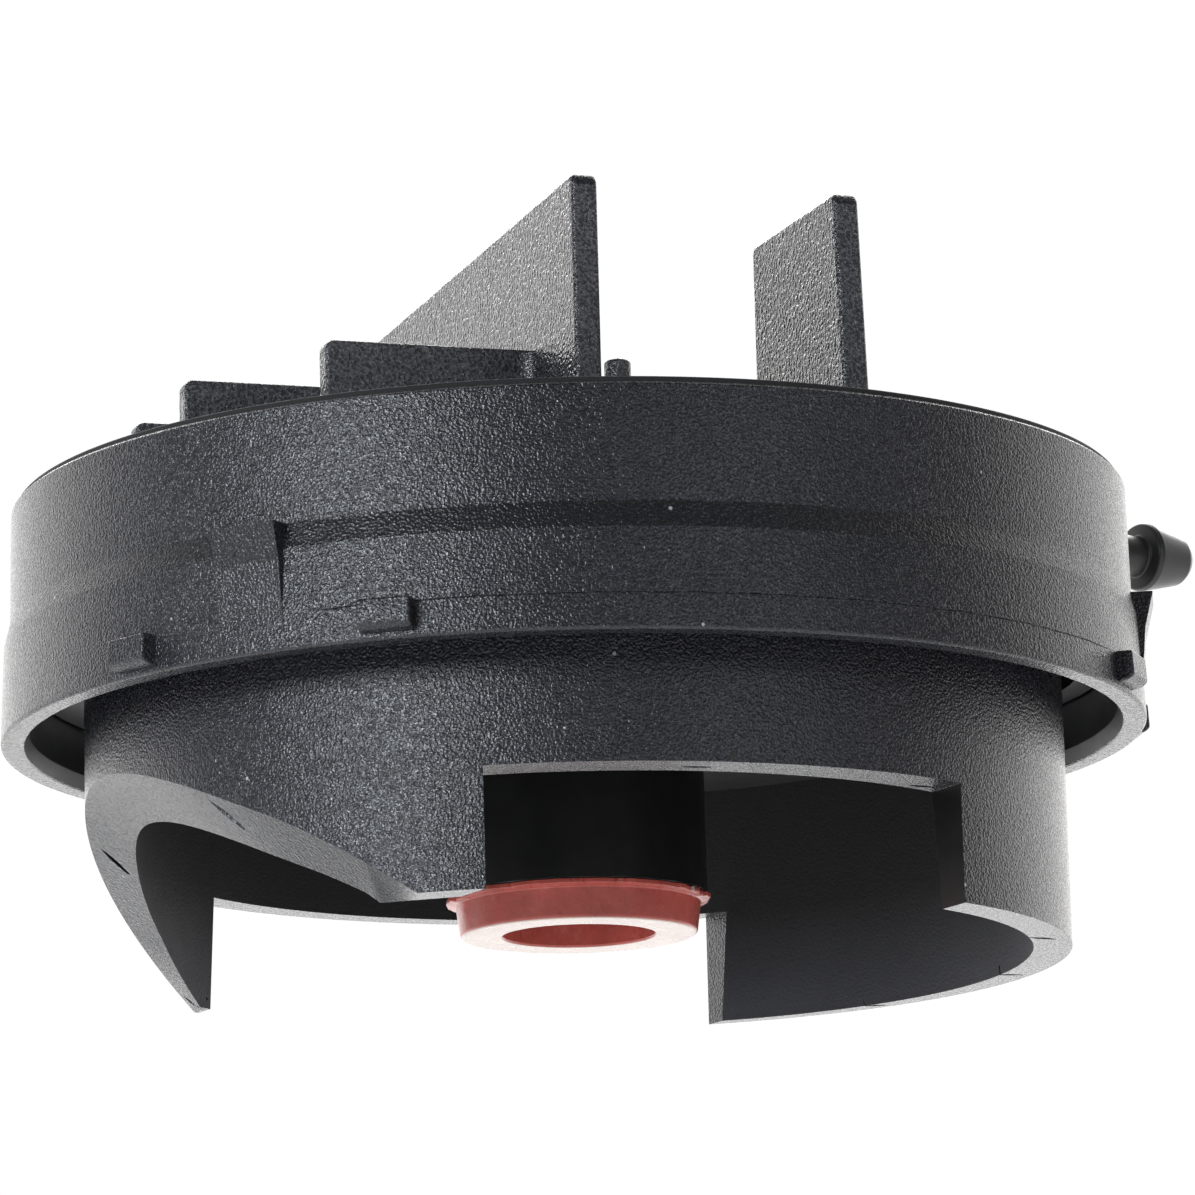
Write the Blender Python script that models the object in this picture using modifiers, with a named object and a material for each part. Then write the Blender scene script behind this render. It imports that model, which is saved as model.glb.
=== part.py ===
"""Pump head of an aquarium wave maker.

A shouldered shroud ring holds a deck. Under the deck stands a notched coupling skirt, which twists onto a
motor unit, and a hub tube that ends in a rubber seal. Over the deck an impeller turns on a shaft between two
bushes, below a slotted grille with standing ribs, two tall deflector plates and an air nipple.

All lengths are in metres. The design is drawn about the shaft's axis with z = 0 at the ring's lower edge,
and is then set down so that the origin is the middle of the underside of the whole part.
"""
import math

import bmesh
import bpy
from mathutils import Matrix, Vector

# Gaps and smoothness
GAP = 0.0003
RUNNING_GAP = 0.00005
SEGMENTS_LARGE = 72
SEGMENTS_SMALL = 36
MERGE = 0.00001
ROOT = 0.0010
PAST = 0.0020

# Shroud ring
RING_RADIUS = 0.0550
RING_HEIGHT = 0.02324
RING_SHOULDER_LOW = 0.0094
RING_SHOULDER_HIGH = 0.0116
RING_UPPER_RADIUS = 0.0540
RING_RIM_RADIUS = 0.0534
RING_STEP = 0.0005
RING_LIP_RADIUS = 0.0527
RING_LIP_HIGH = 0.0014
RING_BORE = 0.0522
RING_BAND_RADIUS = 0.0498
RING_BAND_LOW = 0.0107
RING_BAND_HIGH = 0.0197
LATCH_ANGLES = (238.6, 354.5, 116.6)
LATCH_HALF_WIDTH = 3.6
LATCH_PROUD = 0.0022
LATCH_TOP = 0.0117
LATCH_FOOT = 0.0083
LUG_OFFSET = 14.3
LUG_HALF_WIDTH = 2.6
LUG_PROUD = 0.00146
LUG_LOW = 0.0004
LUG_HIGH = 0.0036

# Deck
DECK_RADIUS = RING_BORE - GAP
DECK_LOW = 0.00605
DECK_HIGH = 0.00855
FLOOR_LOW = 0.00165
FLOOR_HIGH = 0.00415
FLOOR_EDGE = 0.0404
FLOOR_RADIUS = 0.0365
FLOOR_STEP = 0.0400
POST_CIRCLE = 0.0468
POST_RADIUS = 0.0026
POST_ANGLES = (80.0, 170.0, 260.0, 350.0)
OUTLET_INNER = 0.0475
OUTLET_OUTER = 0.0493
OUTLET_SPAN = 32.0
OUTLET_MIDDLES = (25.0, 65.0)
SINK_DEPTH = 0.0027
DECK_SEAL_RADIUS = 0.0507
DECK_SEAL_SECTION = 0.0007

# Coupling skirt, its lower edge is cut along the direction SLIDE_ANGLE
SKIRT_RADIUS = 0.0470
SKIRT_BORE_LOW = 0.0433
SKIRT_BORE_HIGH = 0.0407
SKIRT_LOW = -0.02138
SKIRT_HIGH = DECK_LOW - GAP
SKIRT_COLUMNS = 120
WINDOW_TOP = -0.01034
SLIDE_ANGLE = 118.0
FRONT_WINDOW = (-0.0289, 0.0163)
REAR_WINDOW = (-0.0209, 0.0323)
FRONT_RAMP_FOOT = -0.0336
FRONT_RAMP_SLOPE = 0.98
REAR_RAMP_FOOT = -0.0214
REAR_RAMP_SLOPE = 0.70
RAMP_BLEND = 0.0192
SKIRT_SCREW_CIRCLE = 0.0443
SKIRT_SCREW_ANGLES = (35.0, 125.0, 215.0, 305.0)
SKIRT_HOLE_LOW = -0.0040

# Hub tube, seal and bushes
TUBE_RADIUS = 0.0124
TUBE_LOW = -0.0151
TUBE_FLANGE_RADIUS = 0.0195
TUBE_FLANGE_HIGH = 0.0062
SEAL_SOCKET_RADIUS = 0.0098
SEAL_SOCKET_HIGH = -0.0092
COUPLING_BORE = 0.0077
BUSH_SEAT_RADIUS = 0.00575
BUSH_SEAT_LOW = -0.0012
BUSH_FLANGE_RADIUS = 0.0076
BUSH_FLANGE_HIGH = 0.0076
SEAL_RADIUS = 0.0113
SEAL_LIP_RADIUS = 0.0127
SEAL_LIP_THICKNESS = 0.0006
SEAL_LOW = -0.01876
SEAL_BORE = 0.00727
TUBE_SCREW_CIRCLE = 0.0165
TUBE_SCREW_ANGLES = (90.0, 210.0, 330.0)
UPPER_BUSH_RADIUS = 0.0052
UPPER_BUSH_HIGH = 0.0243
WASHER_RADIUS = 0.0070
WASHER_LOW = 0.0079
WASHER_HIGH = 0.0087

# Rotor
SHAFT_RADIUS = 0.0030
SHAFT_LOW = -0.0047
SHAFT_HIGH = 0.0240
SHAFT_CHAMFER = 0.0004
SHAFT_FIT = 0.0002
CLIP_LOW = 0.0185
CLIP_HIGH = 0.0193
CLIP_PLAY = 0.0001
CLIP_RADIUS = 0.0049
CLIP_MOUTH = 20.0
COUPLING_RADIUS = 0.0069
COUPLING_LOW = -0.0085
COUPLING_HIGH = -0.0019
DOG_SOCKET_RADIUS = 0.0046
DOG_SOCKET_DEPTH = 0.0027
CROSS_PIN_RADIUS = 0.0008
CROSS_PIN_LENGTH = 0.0124
CROSS_PIN_HEIGHT = -0.0033
IMPELLER_RADIUS = 0.0430
IMPELLER_HUB_RADIUS = 0.0085
IMPELLER_LOW = 0.0090
IMPELLER_HIGH = 0.0182
BLADE_COUNT = 5
BLADE_SPAN = 40.0
BLADE_THICKNESS = 0.0016
BLADE_MARGIN = 0.0008
BLADE_RADII = (IMPELLER_HUB_RADIUS - ROOT, 0.016, 0.025, 0.034, IMPELLER_RADIUS)
BLADE_STEPS = 6

# Intake grille
GRILLE_RADIUS = 0.0514
GRILLE_LOW = 0.0200
GRILLE_HIGH = 0.0224
PLATFORM_RADIUS = 0.0436
PLATFORM_HIGH = 0.0236
BOSS_RADIUS = 0.0076
BOSS_HIGH = 0.0262
BUSH_POCKET_RADIUS = UPPER_BUSH_RADIUS + GAP
BUSH_POCKET_HIGH = UPPER_BUSH_HIGH + GAP
RIB_TURN = 18.2
RIB_HIGH = 0.03138
RIB_END_RADIUS = 0.0421
RIB_FIRST = -0.02708
RIB_SPACING = 0.01752
RIB_COUNT = 4
PLATE_THICKNESS = 0.0025
PLATE_HIGH = 0.0450
LONG_PLATE_OFFSET = -0.0110
SHORT_PLATE_NEAR = (0.0264, -0.0329)
SHORT_PLATE_TURN = 20.5
SHORT_PLATE_LENGTH = 0.0203
SHORT_PLATE_LEAN = 0.0014
PIN_PLACE = (0.0054, 0.0289)
PIN_RADIUS = 0.00138
SLOT_WIDTH = 0.0026
SLOTS_PER_BAY = 3
SLOT_FIELD_RADIUS = 0.0395
SLOT_SHORTEST = 0.0060
SLOT_MARGIN = 0.0030

# Air nipple, along a radius of the ring
NIPPLE_ANGLE = 36.0
NIPPLE_HEIGHT = 0.0261
NIPPLE_STEM_RADIUS = 0.0021
NIPPLE_BORE = 0.0012
NIPPLE_INNER_END = 0.0400
NIPPLE_FLARE = 0.0735
NIPPLE_FLARE_RADIUS = 0.0036
NIPPLE_TIP = 0.0789
NIPPLE_TIP_RADIUS = 0.0025
NIPPLE_TIP_ROUND = 0.0007
NIPPLE_BOSS_RADIUS = 0.0042
NIPPLE_BOSS_START = 0.0360
NIPPLE_BOSS_END = 0.0469
NIPPLE_COLLAR_RADIUS = 0.0036
NIPPLE_COLLAR = (0.0472, 0.0486)
NIPPLE_SEAL_SEAT = 0.0014
NIPPLE_SEAL_RADIUS = 0.00285
NIPPLE_SEAL_SECTION = 0.00042
AIR_DROP_RADIUS = 0.0014
AIR_DROP_PLACE = 0.0396

# Screws
SCREW_SHANK = 0.0012
SCREW_HOLE = SCREW_SHANK + GAP
PAN_HEAD_RADIUS = 0.0026
PAN_HEAD_HEIGHT = 0.0017
PAN_HEAD_ROUND = 0.0007
SCREW_SLOT = 0.0006
SINK_HEAD = 0.0019
GRILLE_SCREW_LENGTH = 0.0095
TUBE_SCREW_LENGTH = 0.0042


def clear_scene():
    """Remove whatever the file opened with."""
    for item in list(bpy.data.objects):
        bpy.data.objects.remove(item, do_unlink=True)


def new_collection(name):
    """Make a collection in the scene."""
    collection = bpy.data.collections.new(name)
    bpy.context.scene.collection.children.link(collection)
    return collection


def material(name, colour, roughness, metallic=0.0):
    """Make a Principled material."""
    made = bpy.data.materials.new(name)
    made.use_nodes = True
    shader = made.node_tree.nodes["Principled BSDF"]
    shader.inputs["Base Color"].default_value = (*colour, 1.0)
    shader.inputs["Roughness"].default_value = roughness
    shader.inputs["Metallic"].default_value = metallic
    return made


clear_scene()
PARTS = new_collection("wave_maker_pump_head")
TOOLS = new_collection("cutters")
FRAME = bpy.data.objects.new("frame", None)
PARTS.objects.link(FRAME)
CASING_BLACK = material("casing_black", (0.030, 0.031, 0.034), 0.55)
TUBE_BLACK = material("tube_black", (0.014, 0.014, 0.015), 0.40)
SEAL_RED = material("seal_red", (0.46, 0.085, 0.055), 0.50)
STEEL = material("stainless_steel", (0.60, 0.60, 0.61), 0.28, 1.0)
CERAMIC = material("bush_ceramic", (0.82, 0.80, 0.75), 0.30)
RUBBER_BLACK = material("ring_rubber", (0.02, 0.02, 0.02), 0.70)
IMPELLER_GREY = material("impeller_grey", (0.20, 0.21, 0.22), 0.45)


def polar(radius, degrees, height=0.0):
    """Point at a radius and an angle about the shaft's axis."""
    angle = math.radians(degrees)
    return Vector((radius * math.cos(angle), radius * math.sin(angle), height))


def turn(degrees):
    """Rotation about the shaft's axis."""
    return Matrix.Rotation(math.radians(degrees), 4, "Z")


def add_object(name, mesh, paint=None):
    """Put a mesh in the scene: as a part with a material, or as a cutter without one."""
    item = bpy.data.objects.new(name, mesh)
    if paint is None:
        TOOLS.objects.link(item)
        item.hide_render = True
        item.display_type = "WIRE"
    else:
        PARTS.objects.link(item)
        mesh.materials.append(paint)
    item.parent = FRAME
    return item


def turned(name, profile, paint=None, segments=SEGMENTS_LARGE):
    """Turn a closed outline of (radius, height), which runs down its outer side, about the z axis."""
    mesh = bpy.data.meshes.new(name)
    points = [(radius, 0.0, height) for radius, height in profile]
    edges = [(i, (i + 1) % len(points)) for i in range(len(points))]
    mesh.from_pydata(points, edges, [])
    item = add_object(name, mesh, paint)
    screw = item.modifiers.new("turn", "SCREW")
    screw.axis = "Z"
    screw.steps = segments
    screw.render_steps = segments
    screw.use_merge_vertices = True
    screw.merge_threshold = MERGE
    screw.use_smooth_shade = True
    return item


def from_bmesh(name, shape, paint=None):
    """Turn a bmesh into an object with its faces pointing out."""
    bmesh.ops.recalc_face_normals(shape, faces=shape.faces)
    mesh = bpy.data.meshes.new(name)
    shape.to_mesh(mesh)
    shape.free()
    return add_object(name, mesh, paint)


def extrude_outline(shape, outline, low, high, placing=Matrix()):
    """Add a prism on a flat outline, from one height to another, to a bmesh."""
    base = shape.faces.new([shape.verts.new((x, y, low)) for x, y in outline])
    raised = bmesh.ops.extrude_face_region(shape, geom=[base])["geom"]
    top = [v for v in raised if isinstance(v, bmesh.types.BMVert)]
    bmesh.ops.translate(shape, verts=top, vec=(0.0, 0.0, high - low))
    bmesh.ops.transform(shape, matrix=placing, verts=list(base.verts) + top)


def rod(shape, radius, low, high, placing=Matrix(), sides=SEGMENTS_SMALL):
    """Add a round rod along the placed z axis, from one height to another, to a bmesh."""
    middle = Matrix.Translation((0.0, 0.0, (low + high) / 2))
    bmesh.ops.create_cone(shape, cap_ends=True, segments=sides, radius1=radius, radius2=radius,
                          depth=high - low, matrix=placing @ middle)


def box_outline(x_low, x_high, y_low, y_high):
    """Rectangle as an outline."""
    return [(x_low, y_low), (x_high, y_low), (x_high, y_high), (x_low, y_high)]


def combine(item, tool, operation):
    """Cut a tool out of a part, or join it to the part."""
    step = item.modifiers.new(operation.lower(), "BOOLEAN")
    step.operation = operation
    step.solver = "EXACT"
    step.object = tool


def holes(item, places, radius, low, high):
    """Drill upright holes at a list of places."""
    shape = bmesh.new()
    for place in places:
        rod(shape, radius, low, high, Matrix.Translation((place.x, place.y, 0.0)), 16)
    combine(item, from_bmesh(item.name + "_drill", shape), "DIFFERENCE")


def arc_block(shape, inner, outer, start, end, low, high, step=5.0):
    """Add a block between two radii and two angles, with a side every so many degrees, to a bmesh."""
    steps = max(1, round((end - start) / step))
    angles = [start + (end - start) * i / steps for i in range(steps + 1)]
    outline = [polar(outer, a).xy for a in angles] + [polar(inner, a).xy for a in reversed(angles)]
    extrude_outline(shape, outline, low, high)


def shroud_ring():
    """Outer ring with its shoulder, latch wedges and lugs, and the inner band that deck and grille clamp."""
    step = RING_STEP
    profile = [(RING_RIM_RADIUS, RING_HEIGHT), (RING_RIM_RADIUS + step, RING_HEIGHT - step),
               (RING_UPPER_RADIUS, RING_SHOULDER_HIGH), (RING_RADIUS - step, RING_SHOULDER_LOW),
               (RING_RADIUS, 0.0), (RING_LIP_RADIUS, 0.0), (RING_BORE, RING_LIP_HIGH),
               (RING_BORE, RING_BAND_LOW), (RING_BAND_RADIUS, RING_BAND_LOW),
               (RING_BAND_RADIUS, RING_BAND_HIGH), (RING_BORE, RING_BAND_HIGH), (RING_BORE, RING_HEIGHT)]
    ring = turned("shroud_ring", profile, CASING_BLACK)
    lugs = bmesh.new()
    for middle in LATCH_ANGLES:
        for side in (-LUG_OFFSET, LUG_OFFSET):
            start = middle + side - LUG_HALF_WIDTH
            end = middle + side + LUG_HALF_WIDTH
            arc_block(lugs, RING_RADIUS - ROOT, RING_RADIUS + LUG_PROUD, start, end, LUG_LOW, LUG_HIGH)
        wedge = [(RING_UPPER_RADIUS - ROOT, LATCH_TOP), (RING_UPPER_RADIUS + LATCH_PROUD, LATCH_TOP),
                 (RING_RADIUS - ROOT, LATCH_FOOT)]
        half = RING_RADIUS * math.radians(LATCH_HALF_WIDTH)
        extrude_outline(lugs, wedge, -half, half, turn(middle) @ Matrix.Rotation(math.pi / 2, 4, "X"))
    combine(ring, from_bmesh("ring_lugs", lugs), "UNION")
    return ring


def deck_plate():
    """Stepped deck with screw posts and curved outlet slots."""
    profile = [(DECK_RADIUS, DECK_HIGH), (DECK_RADIUS, DECK_LOW), (FLOOR_EDGE, DECK_LOW),
               (FLOOR_EDGE, FLOOR_LOW), (TUBE_RADIUS + GAP, FLOOR_LOW), (TUBE_RADIUS + GAP, FLOOR_HIGH),
               (FLOOR_RADIUS, FLOOR_HIGH), (FLOOR_STEP, DECK_HIGH)]
    deck = turned("deck_plate", profile, CASING_BLACK)
    posts = bmesh.new()
    for angle in POST_ANGLES:
        place = polar(POST_CIRCLE, angle)
        rod(posts, POST_RADIUS, DECK_HIGH - ROOT, GRILLE_LOW - GAP, Matrix.Translation(place), 20)
    combine(deck, from_bmesh("deck_posts", posts), "UNION")
    slots = bmesh.new()
    for angle in POST_ANGLES:
        for middle in OUTLET_MIDDLES:
            start = angle + middle - OUTLET_SPAN / 2
            arc_block(slots, OUTLET_INNER, OUTLET_OUTER, start, start + OUTLET_SPAN, DECK_LOW - PAST,
                      DECK_HIGH + PAST)
    combine(deck, from_bmesh("deck_outlets", slots), "DIFFERENCE")
    post_hole_low = GRILLE_HIGH - GRILLE_SCREW_LENGTH - PAST
    holes(deck, [polar(POST_CIRCLE, a) for a in POST_ANGLES], SCREW_HOLE, post_hole_low, GRILLE_LOW)
    holes(deck, [polar(TUBE_SCREW_CIRCLE, a) for a in TUBE_SCREW_ANGLES], SCREW_HOLE, 0.0, FLOOR_HIGH + PAST)
    spots = [polar(SKIRT_SCREW_CIRCLE, a) for a in SKIRT_SCREW_ANGLES]
    holes(deck, spots, SCREW_HOLE, DECK_LOW - PAST, DECK_HIGH + PAST)
    sinks = bmesh.new()
    for spot in spots:
        placing = Matrix.Translation((spot.x, spot.y, DECK_HIGH + ROOT / 2 - SINK_DEPTH / 2))
        bmesh.ops.create_cone(sinks, cap_ends=True, segments=20, radius1=SCREW_HOLE,
                              radius2=SCREW_HOLE + SINK_DEPTH, depth=SINK_DEPTH, matrix=placing)
    combine(deck, from_bmesh("deck_countersinks", sinks), "DIFFERENCE")
    return deck


def skirt_bore(height):
    """Radius of the skirt's tapered bore at a height."""
    share = (height - SKIRT_LOW) / (SKIRT_HIGH - SKIRT_LOW)
    return SKIRT_BORE_LOW + (SKIRT_BORE_HIGH - SKIRT_BORE_LOW) * share


def skirt_edge(point):
    """Height of the skirt's lower edge at a point of its wall, where no window cuts it."""
    along = Vector((math.cos(math.radians(SLIDE_ANGLE)), math.sin(math.radians(SLIDE_ANGLE))))
    across = point.x * along.y - point.y * along.x
    depth = point.x * along.x + point.y * along.y
    front = SKIRT_LOW + FRONT_RAMP_SLOPE * (FRONT_RAMP_FOOT - across)
    rear = SKIRT_LOW + REAR_RAMP_SLOPE * (REAR_RAMP_FOOT - across)
    share = min(1.0, max(0.0, 0.5 + depth / (2 * RAMP_BLEND)))
    share = share * share * (3 - 2 * share)
    return max(SKIRT_LOW, front + (rear - front) * share)


def coupling_skirt():
    """Notched collar: a wall with a ramped lower edge, and a window through each side."""
    shape = bmesh.new()
    columns = []
    for i in range(SKIRT_COLUMNS):
        angle = 360.0 * i / SKIRT_COLUMNS
        outer = polar(SKIRT_RADIUS, angle)
        outer_edge = skirt_edge(outer)
        inner = polar(skirt_bore(outer_edge), angle)
        top = polar(SKIRT_BORE_HIGH, angle)
        heights = (SKIRT_HIGH, outer_edge, skirt_edge(inner), SKIRT_HIGH)
        corners = (outer, outer, inner, top)
        columns.append([shape.verts.new((p.x, p.y, z)) for p, z in zip(corners, heights)])
    for i, column in enumerate(columns):
        following = columns[(i + 1) % SKIRT_COLUMNS]
        for k in range(4):
            other = (k + 1) % 4
            shape.faces.new((column[k], column[other], following[other], following[k]))
    skirt = from_bmesh("coupling_skirt", shape, CASING_BLACK)
    windows = bmesh.new()
    placing = turn(SLIDE_ANGLE - 90.0)
    reach = SKIRT_RADIUS + PAST
    low = SKIRT_LOW - PAST
    extrude_outline(windows, box_outline(*FRONT_WINDOW, -reach, 0.0), low, WINDOW_TOP, placing)
    extrude_outline(windows, box_outline(*REAR_WINDOW, GAP, reach), low, WINDOW_TOP, placing)
    combine(skirt, from_bmesh("skirt_windows", windows), "DIFFERENCE")
    holes(skirt, [polar(SKIRT_SCREW_CIRCLE, a) for a in SKIRT_SCREW_ANGLES], SCREW_HOLE, SKIRT_HOLE_LOW,
          SKIRT_HIGH + PAST)
    return skirt


def hub_tube():
    """Flanged tube that carries the lower bush and the seal."""
    profile = [(TUBE_FLANGE_RADIUS, TUBE_FLANGE_HIGH), (TUBE_FLANGE_RADIUS, FLOOR_HIGH + GAP),
               (TUBE_RADIUS, FLOOR_HIGH + GAP), (TUBE_RADIUS, TUBE_LOW), (SEAL_SOCKET_RADIUS, TUBE_LOW),
               (SEAL_SOCKET_RADIUS, SEAL_SOCKET_HIGH), (COUPLING_BORE, SEAL_SOCKET_HIGH),
               (COUPLING_BORE, BUSH_SEAT_LOW), (BUSH_SEAT_RADIUS, BUSH_SEAT_LOW),
               (BUSH_SEAT_RADIUS, TUBE_FLANGE_HIGH)]
    tube = turned("hub_tube", profile, TUBE_BLACK, SEGMENTS_SMALL)
    holes(tube, [polar(TUBE_SCREW_CIRCLE, a) for a in TUBE_SCREW_ANGLES], SCREW_HOLE, FLOOR_HIGH - PAST,
          TUBE_FLANGE_HIGH + PAST)
    return tube


def shaft_seal():
    """Rubber seal plugged into the tube, with a lip under the tube's end."""
    neck = SEAL_SOCKET_RADIUS - GAP
    top = SEAL_SOCKET_HIGH - GAP
    lip_top = TUBE_LOW - GAP
    lip_low = lip_top - SEAL_LIP_THICKNESS
    profile = [(neck, top), (neck, lip_top), (SEAL_LIP_RADIUS, lip_top), (SEAL_LIP_RADIUS, lip_low),
               ((SEAL_RADIUS + SEAL_LIP_RADIUS) / 2, lip_low), (SEAL_RADIUS, SEAL_LOW),
               (SEAL_BORE, SEAL_LOW), (SEAL_BORE, top)]
    return turned("shaft_seal", profile, SEAL_RED, SEGMENTS_SMALL)


def lower_bush():
    """Flanged bush in the tube."""
    bore = SHAFT_RADIUS + RUNNING_GAP
    body = BUSH_SEAT_RADIUS - GAP
    low = BUSH_SEAT_LOW
    profile = [(BUSH_FLANGE_RADIUS, BUSH_FLANGE_HIGH), (BUSH_FLANGE_RADIUS, TUBE_FLANGE_HIGH + GAP),
               (body, TUBE_FLANGE_HIGH + GAP), (body, low), (bore, low), (bore, BUSH_FLANGE_HIGH)]
    return turned("lower_bush", profile, CERAMIC, SEGMENTS_SMALL)


def upper_bush():
    """Plain bush under the grille's boss."""
    bore = SHAFT_RADIUS + RUNNING_GAP
    profile = [(UPPER_BUSH_RADIUS, UPPER_BUSH_HIGH), (UPPER_BUSH_RADIUS, GRILLE_LOW), (bore, GRILLE_LOW),
               (bore, UPPER_BUSH_HIGH)]
    return turned("upper_bush", profile, CERAMIC, SEGMENTS_SMALL)


def thrust_washer():
    """Washer between the lower bush and the impeller."""
    bore = SHAFT_RADIUS + GAP
    profile = [(WASHER_RADIUS, WASHER_HIGH), (WASHER_RADIUS, WASHER_LOW), (bore, WASHER_LOW),
               (bore, WASHER_HIGH)]
    return turned("thrust_washer", profile, STEEL, SEGMENTS_SMALL)


def drive_shaft():
    """Shaft with a clip groove and a cross hole."""
    groove = SHAFT_RADIUS - SHAFT_CHAMFER
    groove_high = CLIP_HIGH + CLIP_PLAY
    groove_low = CLIP_LOW - CLIP_PLAY
    profile = [(0.0, SHAFT_HIGH), (groove, SHAFT_HIGH), (SHAFT_RADIUS, SHAFT_HIGH - SHAFT_CHAMFER),
               (SHAFT_RADIUS, groove_high), (groove, groove_high), (groove, groove_low),
               (SHAFT_RADIUS, groove_low), (SHAFT_RADIUS, SHAFT_LOW), (0.0, SHAFT_LOW)]
    shaft = turned("drive_shaft", profile, STEEL, SEGMENTS_SMALL)
    combine(shaft, cross_hole("shaft_cross_hole"), "DIFFERENCE")
    return shaft


def cross_hole(name):
    """Cutter for the cross pin's hole."""
    shape = bmesh.new()
    across = Matrix.Translation((0, 0, CROSS_PIN_HEIGHT)) @ Matrix.Rotation(math.pi / 2, 4, "Y")
    rod(shape, CROSS_PIN_RADIUS + SHAFT_FIT, -CROSS_PIN_LENGTH, CROSS_PIN_LENGTH, across, 12)
    return from_bmesh(name, shape)


def drive_coupling():
    """Socket on the shaft's lower end that takes the motor's drive dog."""
    bore = SHAFT_RADIUS + SHAFT_FIT
    floor = SHAFT_LOW - GAP
    profile = [(COUPLING_RADIUS, COUPLING_HIGH), (COUPLING_RADIUS, COUPLING_LOW), (0.0, COUPLING_LOW),
               (0.0, floor), (bore, floor), (bore, COUPLING_HIGH)]
    coupling = turned("drive_coupling", profile, IMPELLER_GREY, SEGMENTS_SMALL)
    socket = bmesh.new()
    rod(socket, DOG_SOCKET_RADIUS, COUPLING_LOW - PAST, COUPLING_LOW + DOG_SOCKET_DEPTH, Matrix(), 6)
    combine(coupling, from_bmesh("dog_socket", socket), "DIFFERENCE")
    combine(coupling, cross_hole("coupling_cross_hole"), "DIFFERENCE")
    return coupling


def coupling_pin():
    """Cross pin that locks the coupling to the shaft."""
    shape = bmesh.new()
    across = Matrix.Translation((0, 0, CROSS_PIN_HEIGHT)) @ Matrix.Rotation(math.pi / 2, 4, "Y")
    rod(shape, CROSS_PIN_RADIUS, -CROSS_PIN_LENGTH / 2, CROSS_PIN_LENGTH / 2, across, 12)
    return from_bmesh("coupling_pin", shape, STEEL)


def blade(shape, start):
    """Add one helical blade to a bmesh: it climbs from its leading edge to its trailing edge."""
    rise = IMPELLER_HIGH - IMPELLER_LOW - 2 * BLADE_MARGIN - BLADE_THICKNESS
    layers = []
    for radius in BLADE_RADII:
        row = []
        for i in range(BLADE_STEPS + 1):
            share = i / BLADE_STEPS
            centre = IMPELLER_LOW + BLADE_MARGIN + BLADE_THICKNESS / 2 + rise * share
            half = BLADE_THICKNESS / 2 * (0.35 + 2.6 * share * (1 - share))
            angle = start + BLADE_SPAN * share
            row.append([shape.verts.new(polar(radius, angle, centre + side * half)) for side in (-1, 1)])
        layers.append(row)
    for near, far in zip(layers, layers[1:]):
        for i in range(BLADE_STEPS):
            for side in (0, 1):
                shape.faces.new((near[i][side], near[i + 1][side], far[i + 1][side], far[i][side]))
        for i in (0, BLADE_STEPS):
            shape.faces.new((near[i][0], near[i][1], far[i][1], far[i][0]))
    for row in (layers[0], layers[-1]):
        for i in range(BLADE_STEPS):
            shape.faces.new((row[i][0], row[i + 1][0], row[i + 1][1], row[i][1]))


def impeller():
    """Hub with helical blades."""
    bore = SHAFT_RADIUS + SHAFT_FIT
    profile = [(IMPELLER_HUB_RADIUS - ROOT, IMPELLER_HIGH), (IMPELLER_HUB_RADIUS, IMPELLER_HIGH - ROOT),
               (IMPELLER_HUB_RADIUS, IMPELLER_LOW), (bore, IMPELLER_LOW), (bore, IMPELLER_HIGH)]
    wheel = turned("impeller", profile, IMPELLER_GREY, SEGMENTS_SMALL)
    blades = bmesh.new()
    for i in range(BLADE_COUNT):
        blade(blades, 360.0 * i / BLADE_COUNT)
    combine(wheel, from_bmesh("impeller_blades", blades), "UNION")
    return wheel


def shaft_circlip():
    """Open clip in the shaft's groove."""
    shape = bmesh.new()
    arc_block(shape, SHAFT_RADIUS - CLIP_PLAY, CLIP_RADIUS, CLIP_MOUTH, 360.0 - CLIP_MOUTH, CLIP_LOW,
              CLIP_HIGH, 16.0)
    return from_bmesh("shaft_circlip", shape, STEEL)


def to_ribs(x, y):
    """Coordinates of a point along and across the ribs."""
    angle = math.radians(RIB_TURN)
    return x * math.cos(angle) + y * math.sin(angle), y * math.cos(angle) - x * math.sin(angle)


def slot_spans(across):
    """Stretches along one slot line that nothing on the grille stands on."""
    reach = math.sqrt(SLOT_FIELD_RADIUS ** 2 - across ** 2)
    blocked = [(LONG_PLATE_OFFSET - SLOT_MARGIN, LONG_PLATE_OFFSET + SLOT_MARGIN)]
    clear_radius = BOSS_RADIUS + SLOT_WIDTH
    if abs(across) < clear_radius:
        half = math.sqrt(clear_radius ** 2 - across ** 2)
        blocked.append((-half, half))
    plate_along, plate_across = to_ribs(*SHORT_PLATE_NEAR)
    if plate_across - SLOT_MARGIN < across < plate_across + SHORT_PLATE_LENGTH + SLOT_MARGIN:
        blocked.append((plate_along - SLOT_MARGIN, plate_along + SLOT_MARGIN))
    pin_along, pin_across = to_ribs(*PIN_PLACE)
    if abs(across - pin_across) < PIN_RADIUS + SLOT_MARGIN:
        blocked.append((pin_along - SLOT_MARGIN, pin_along + SLOT_MARGIN))
    boss_start, boss_across = to_ribs(*polar(NIPPLE_BOSS_START - SLOT_WIDTH, NIPPLE_ANGLE).xy)
    if abs(across - boss_across) < NIPPLE_BOSS_RADIUS + 2 * SLOT_MARGIN:
        blocked.append((boss_start - SLOT_MARGIN, reach + MERGE))
    spans = []
    start = -reach
    for low, high in sorted(blocked):
        if low - start > SLOT_SHORTEST:
            spans.append((start, low))
        start = max(start, high)
    if reach - start > SLOT_SHORTEST:
        spans.append((start, reach))
    return spans


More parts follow.
